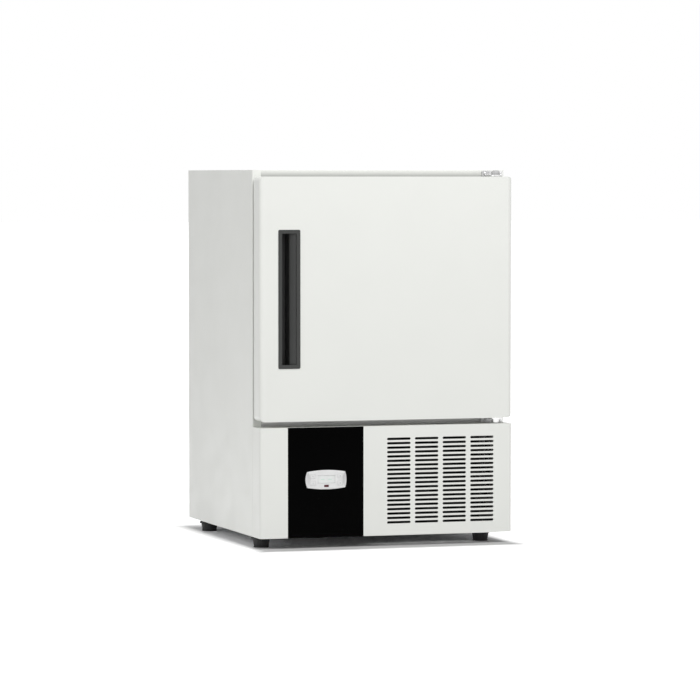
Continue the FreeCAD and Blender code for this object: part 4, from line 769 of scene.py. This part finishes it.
def fanPiece(name, finish):
    low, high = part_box(name)
    f = fanShape
    centre = Vector(((low.x + high.x) / 2, low.y + f["depth"] / 2, fanHeights[name]))
    bm = bmesh.new()
    for blade in range(f["blades"]):
        addBlade(bm, centre, math.tau * blade / f["blades"])
    hub, half = f["hub"], f["depth"] / 2
    profile = [(0, 1 * mm), (5 * mm, 1 * mm), (5.5 * mm, 0), (hub - 7 * mm, 0), (hub - 3 * mm, 0.6 * mm),
               (hub - 0.9 * mm, 2.2 * mm), (hub, 4.5 * mm), (hub, 2 * half), (hub - 2 * mm, 2 * half),
               (hub - 2 * mm, 5 * mm), (6 * mm, 4 * mm), (6 * mm, 2 * half - 2 * mm),
               (f["shaft"], 2 * half - 2 * mm), (f["shaft"], high.y - low.y), (0, high.y - low.y)]
    lathe(bm, profile, centre - Vector((0, half, 0)), (0, 1, 0), steps=48)
    finishPiece(name + "_wheel", bm, finish, name.replace("_fan", "_rotor"), [name])


for fanName in fanHeights:
    fanPiece(fanName, finishes["fan_metal"])
print("fan wheels modelled")


# Finned coils: thin fins on rows of tube, with return bends outside two end plates

coilShape = {"tube": 4 * mm, "plate": 1.5 * mm, "endSpace": 15 * mm, "bendLead": 3 * mm,
             "fin": 0.35 * mm}
coilMargins = {"condenser_coil": (6 * mm, 4 * mm), "evaporator_coil": (35 * mm, 35 * mm)}


def addReturnBend(bm, spot, side, radius):
    c = coilShape
    known = set(bm.verts)
    turned = Matrix.Rotation(math.radians(90), 4, "Y")
    ring = bmesh.ops.create_circle(bm, segments=12, radius=c["tube"],
                                   matrix=Matrix.Translation(spot) @ turned)
    edges = list(edgesOf(ring["verts"]))
    lead = bmesh.ops.extrude_edge_only(bm, edges=edges)["geom"]
    start = [v for v in lead if isinstance(v, bmesh.types.BMVert)]
    bmesh.ops.translate(bm, verts=start, vec=(side * c["bendLead"], 0, 0))
    turn = [*start, *edgesOf(start)]
    centre = Vector(spot) + Vector((side * c["bendLead"], 0, radius))
    made = bmesh.ops.spin(bm, geom=turn, cent=centre, axis=(0, -side, 0), angle=math.pi, steps=8)
    last = [e for e in made["geom_last"] if isinstance(e, bmesh.types.BMEdge)]
    lead = bmesh.ops.extrude_edge_only(bm, edges=last)["geom"]
    bmesh.ops.translate(bm, verts=[v for v in lead if isinstance(v, bmesh.types.BMVert)],
                        vec=(-side * c["bendLead"], 0, 0))
    return [v for v in bm.verts if v not in known]


def coilPiece(name, reach, depth, rows, finPitch, finish, tubeFinish):
    # reach is the inset of the end plates' outer faces from the node's box
    low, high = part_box(name)
    c = coilShape
    left, right = low.x + reach, high.x - reach
    front, back = (low.y + high.y - depth) / 2, (low.y + high.y + depth) / 2
    margin = coilMargins[name]
    bottom, top = low.z + margin[0], high.z - margin[1]
    bm = bmesh.new()
    for x in (left, right - c["plate"]):
        plate = addBlock(bm, (x, low.y, low.z), (x + c["plate"], high.y, high.z))
        roundEdges(bm, [e for e in edgesOf(plate) if alongAxis(e, "x")], 3 * mm, 3)
    count = int((right - left - 2 * c["plate"]) / finPitch)
    first = (left + right) / 2 - (count - 1) * finPitch / 2
    for i in range(count):
        x = first + i * finPitch
        addBlock(bm, (x - c["fin"] / 2, front, bottom), (x + c["fin"] / 2, back, top))
    known = set(bm.faces)
    step = (top - bottom - 2 * c["endSpace"]) / (rows - 1)
    for y in (front + depth / 4, front + depth * 3 / 4):
        for row in range(rows):
            z = bottom + c["endSpace"] + row * step
            addRod(bm, (left - 1 * mm, y, z), (right + 1 * mm, y, z), c["tube"], sides=12)
            if row < rows - 1:
                side, x = (-1, left) if row % 2 == 0 else (1, right)
                addReturnBend(bm, (x, y, z), side, step / 2)
    markPrint(bm, known)
    finishPiece(name + "_finned", bm, [finish, tubeFinish], "cabinet", [name], sharp=40)


coilPiece("condenser_coil", 17.8 * mm, 48 * mm, 10, 3 * mm, blackBehindSlots, blackBehindSlots)
coilPiece("evaporator_coil", 20.9 * mm, 50 * mm, 14, 5 * mm, finishes["coil_aluminium"], finishes["copper"])
print("coils modelled")


# Compressor: drawn shell halves with a welded flange between them

compressorShape = {"radius": 82 * mm, "topRound": 41 * mm, "baseRound": 16 * mm, "flange": 3 * mm,
                   "weldShare": 0.55}


def compressorPiece():
    low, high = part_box("compressor_shell")
    s = compressorShape
    tall, weld = high.z - low.z, (high.z - low.z) * s["weldShare"]
    wide, lip = s["radius"], s["radius"] + s["flange"]
    flange = [(wide, weld - 4 * mm), (wide + 1.2 * mm, weld - 1 * mm), (lip, weld),
              (lip, weld + 2.3 * mm), (lip - 0.8 * mm, weld + 3 * mm), (lip, weld + 3.7 * mm),
              (lip, weld + 6 * mm), (wide + 1.2 * mm, weld + 7 * mm), (wide, weld + 9 * mm)]
    ends = [(s["baseRound"], s["baseRound"], -90), (s["topRound"], tall - s["topRound"], 0)]
    profile = [(0, 0)]
    for bend, height, start in ends:
        if start == 0:
            profile += flange
        for step in range(9):
            turn = math.radians(start + 90 * step / 8)
            profile.append((wide - bend + bend * math.cos(turn), height + bend * math.sin(turn)))
    profile.append((0, tall))
    bm = bmesh.new()
    lathe(bm, profile, ((low.x + high.x) / 2, (low.y + high.y) / 2, low.z), (0, 0, 1), steps=72)
    finishPiece("compressor_can", bm, finishes["motor_black"], "cabinet",
                ["compressor_shell"], sharp=45)


compressorPiece()
print("compressor modelled")


# Stage: floor, lights and camera

cameraPlace = {"spot": (-2.75575, -8.54013, 0.83443), "tilt": 87.432, "turn": -17.923, "lens": 198.4}
studio = {"ambient": 0.44, "keyEnergy": 117, "keySpot": (0.5, -3.0, 3.3), "keySize": 2.4,
          "fillEnergy": 68, "fillSpot": (-4.5, -1.5, 2.2), "fillSize": 3.0, "aim": (0, 0, 0.45),
          "floorHalf": 60, "floorAlbedo": 0.4, "paintedShadowFront": (0.45, 1.0, -0.95, -0.7),
          "paintedShadowFade": (0, 2.0, 0.98, 1.28), "footprint": (0.3, 0.33, 1)}


def makeFloor():
    bm = bmesh.new()
    bmesh.ops.create_grid(bm, x_segments=1, y_segments=1, size=studio["floorHalf"])
    mesh = bpy.data.meshes.new("floor")
    bm.to_mesh(mesh)
    bm.free()
    floor = bpy.data.objects.new("floor", mesh)
    bpy.context.scene.collection.objects.link(floor)
    surface = bpy.data.materials.new("floorWhiteAndPaintedShadow")
    surface.use_nodes = True
    tree = surface.node_tree
    tree.nodes.clear()
    rays = addNode(tree, "LightPath").outputs
    seen = addNode(tree, "Math", {0: rays["Is Camera Ray"], 1: rays["Is Glossy Ray"]}, operation="MAXIMUM")
    seen = addNode(tree, "Math", {0: seen.outputs[0], 1: rays["Is Transmission Ray"]}, operation="MAXIMUM")
    # painted shadow: the tone that the camera sees is dark at the cabinet's front edge, and white past its
    # footprint
    place = addNode(tree, "TexCoord").outputs["Object"]
    step = addNode(tree, "VectorMath", {0: place, 1: studio["footprint"]}, operation="DIVIDE").outputs[0]
    under = spread(tree, addNode(tree, "SeparateXYZ", {"Vector": step}).outputs["Y"], *studio["paintedShadowFront"])
    step = addNode(tree, "VectorMath", {0: step}, operation="ABSOLUTE").outputs[0]
    sides = addNode(tree, "SeparateXYZ", {"Vector": step}).outputs
    away = addNode(tree, "Math", {0: sides["X"], 1: sides["Y"]}, operation="MAXIMUM").outputs[0]
    tone = addNode(tree, "Math", {0: under, 1: spread(tree, away, *studio["paintedShadowFade"])}).outputs[0]
    shown = addNode(tree, "CombineColor", {"Red": tone, "Green": tone, "Blue": tone}).outputs["Color"]
    colour = mixed(tree, seen.outputs[0], [studio["floorAlbedo"]] * 3, shown)
    matte = addNode(tree, "BsdfDiffuse", {"Color": colour})
    addNode(tree, "OutputMaterial", {"Surface": matte.outputs["BSDF"]})
    mesh.materials.append(surface)


def makeWorld():
    world = bpy.data.worlds.new("studio")
    bpy.context.scene.world = world
    world.use_nodes = True
    tree = world.node_tree
    tree.nodes.clear()
    rays = addNode(tree, "LightPath").outputs
    seen = addNode(tree, "Math", {0: rays["Is Camera Ray"], 1: rays["Is Glossy Ray"]}, operation="MAXIMUM")
    seen = addNode(tree, "Math", {0: seen.outputs[0], 1: rays["Is Transmission Ray"]}, operation="MAXIMUM")
    strength = spread(tree, seen.outputs[0], studio["ambient"], 1.0, 0, 1)
    sky = addNode(tree, "Background", {"Color": (1, 1, 1, 1), "Strength": strength})
    addNode(tree, "OutputWorld", {"Surface": sky.outputs["Background"]})


def addSoftbox(name, spot, size, energy):
    lamp = bpy.data.lights.new(name, "AREA")
    lamp.shape = "SQUARE"
    lamp.size = size
    lamp.energy = energy
    holder = bpy.data.objects.new(name, lamp)
    bpy.context.scene.collection.objects.link(holder)
    holder.location = spot
    holder.rotation_euler = (Vector(studio["aim"]) - Vector(spot)).to_track_quat("-Z", "Y").to_euler()


def placeCamera():
    lens = bpy.data.cameras.new("camera")
    lens.lens = cameraPlace["lens"]
    lens.clip_end = 200
    holder = bpy.data.objects.new("camera", lens)
    holder.location = cameraPlace["spot"]
    holder.rotation_euler = (math.radians(cameraPlace["tilt"]), 0, math.radians(cameraPlace["turn"]))
    bpy.context.scene.collection.objects.link(holder)
    bpy.context.scene.camera = holder


bpy.context.scene.view_settings.view_transform = "Standard"
makeFloor()
makeWorld()
for lightName in ("key", "fill"):
    values = [studio[lightName + ending] for ending in ("Spot", "Size", "Energy")]
    addSoftbox(lightName, *values)
placeCamera()
print("stage set")
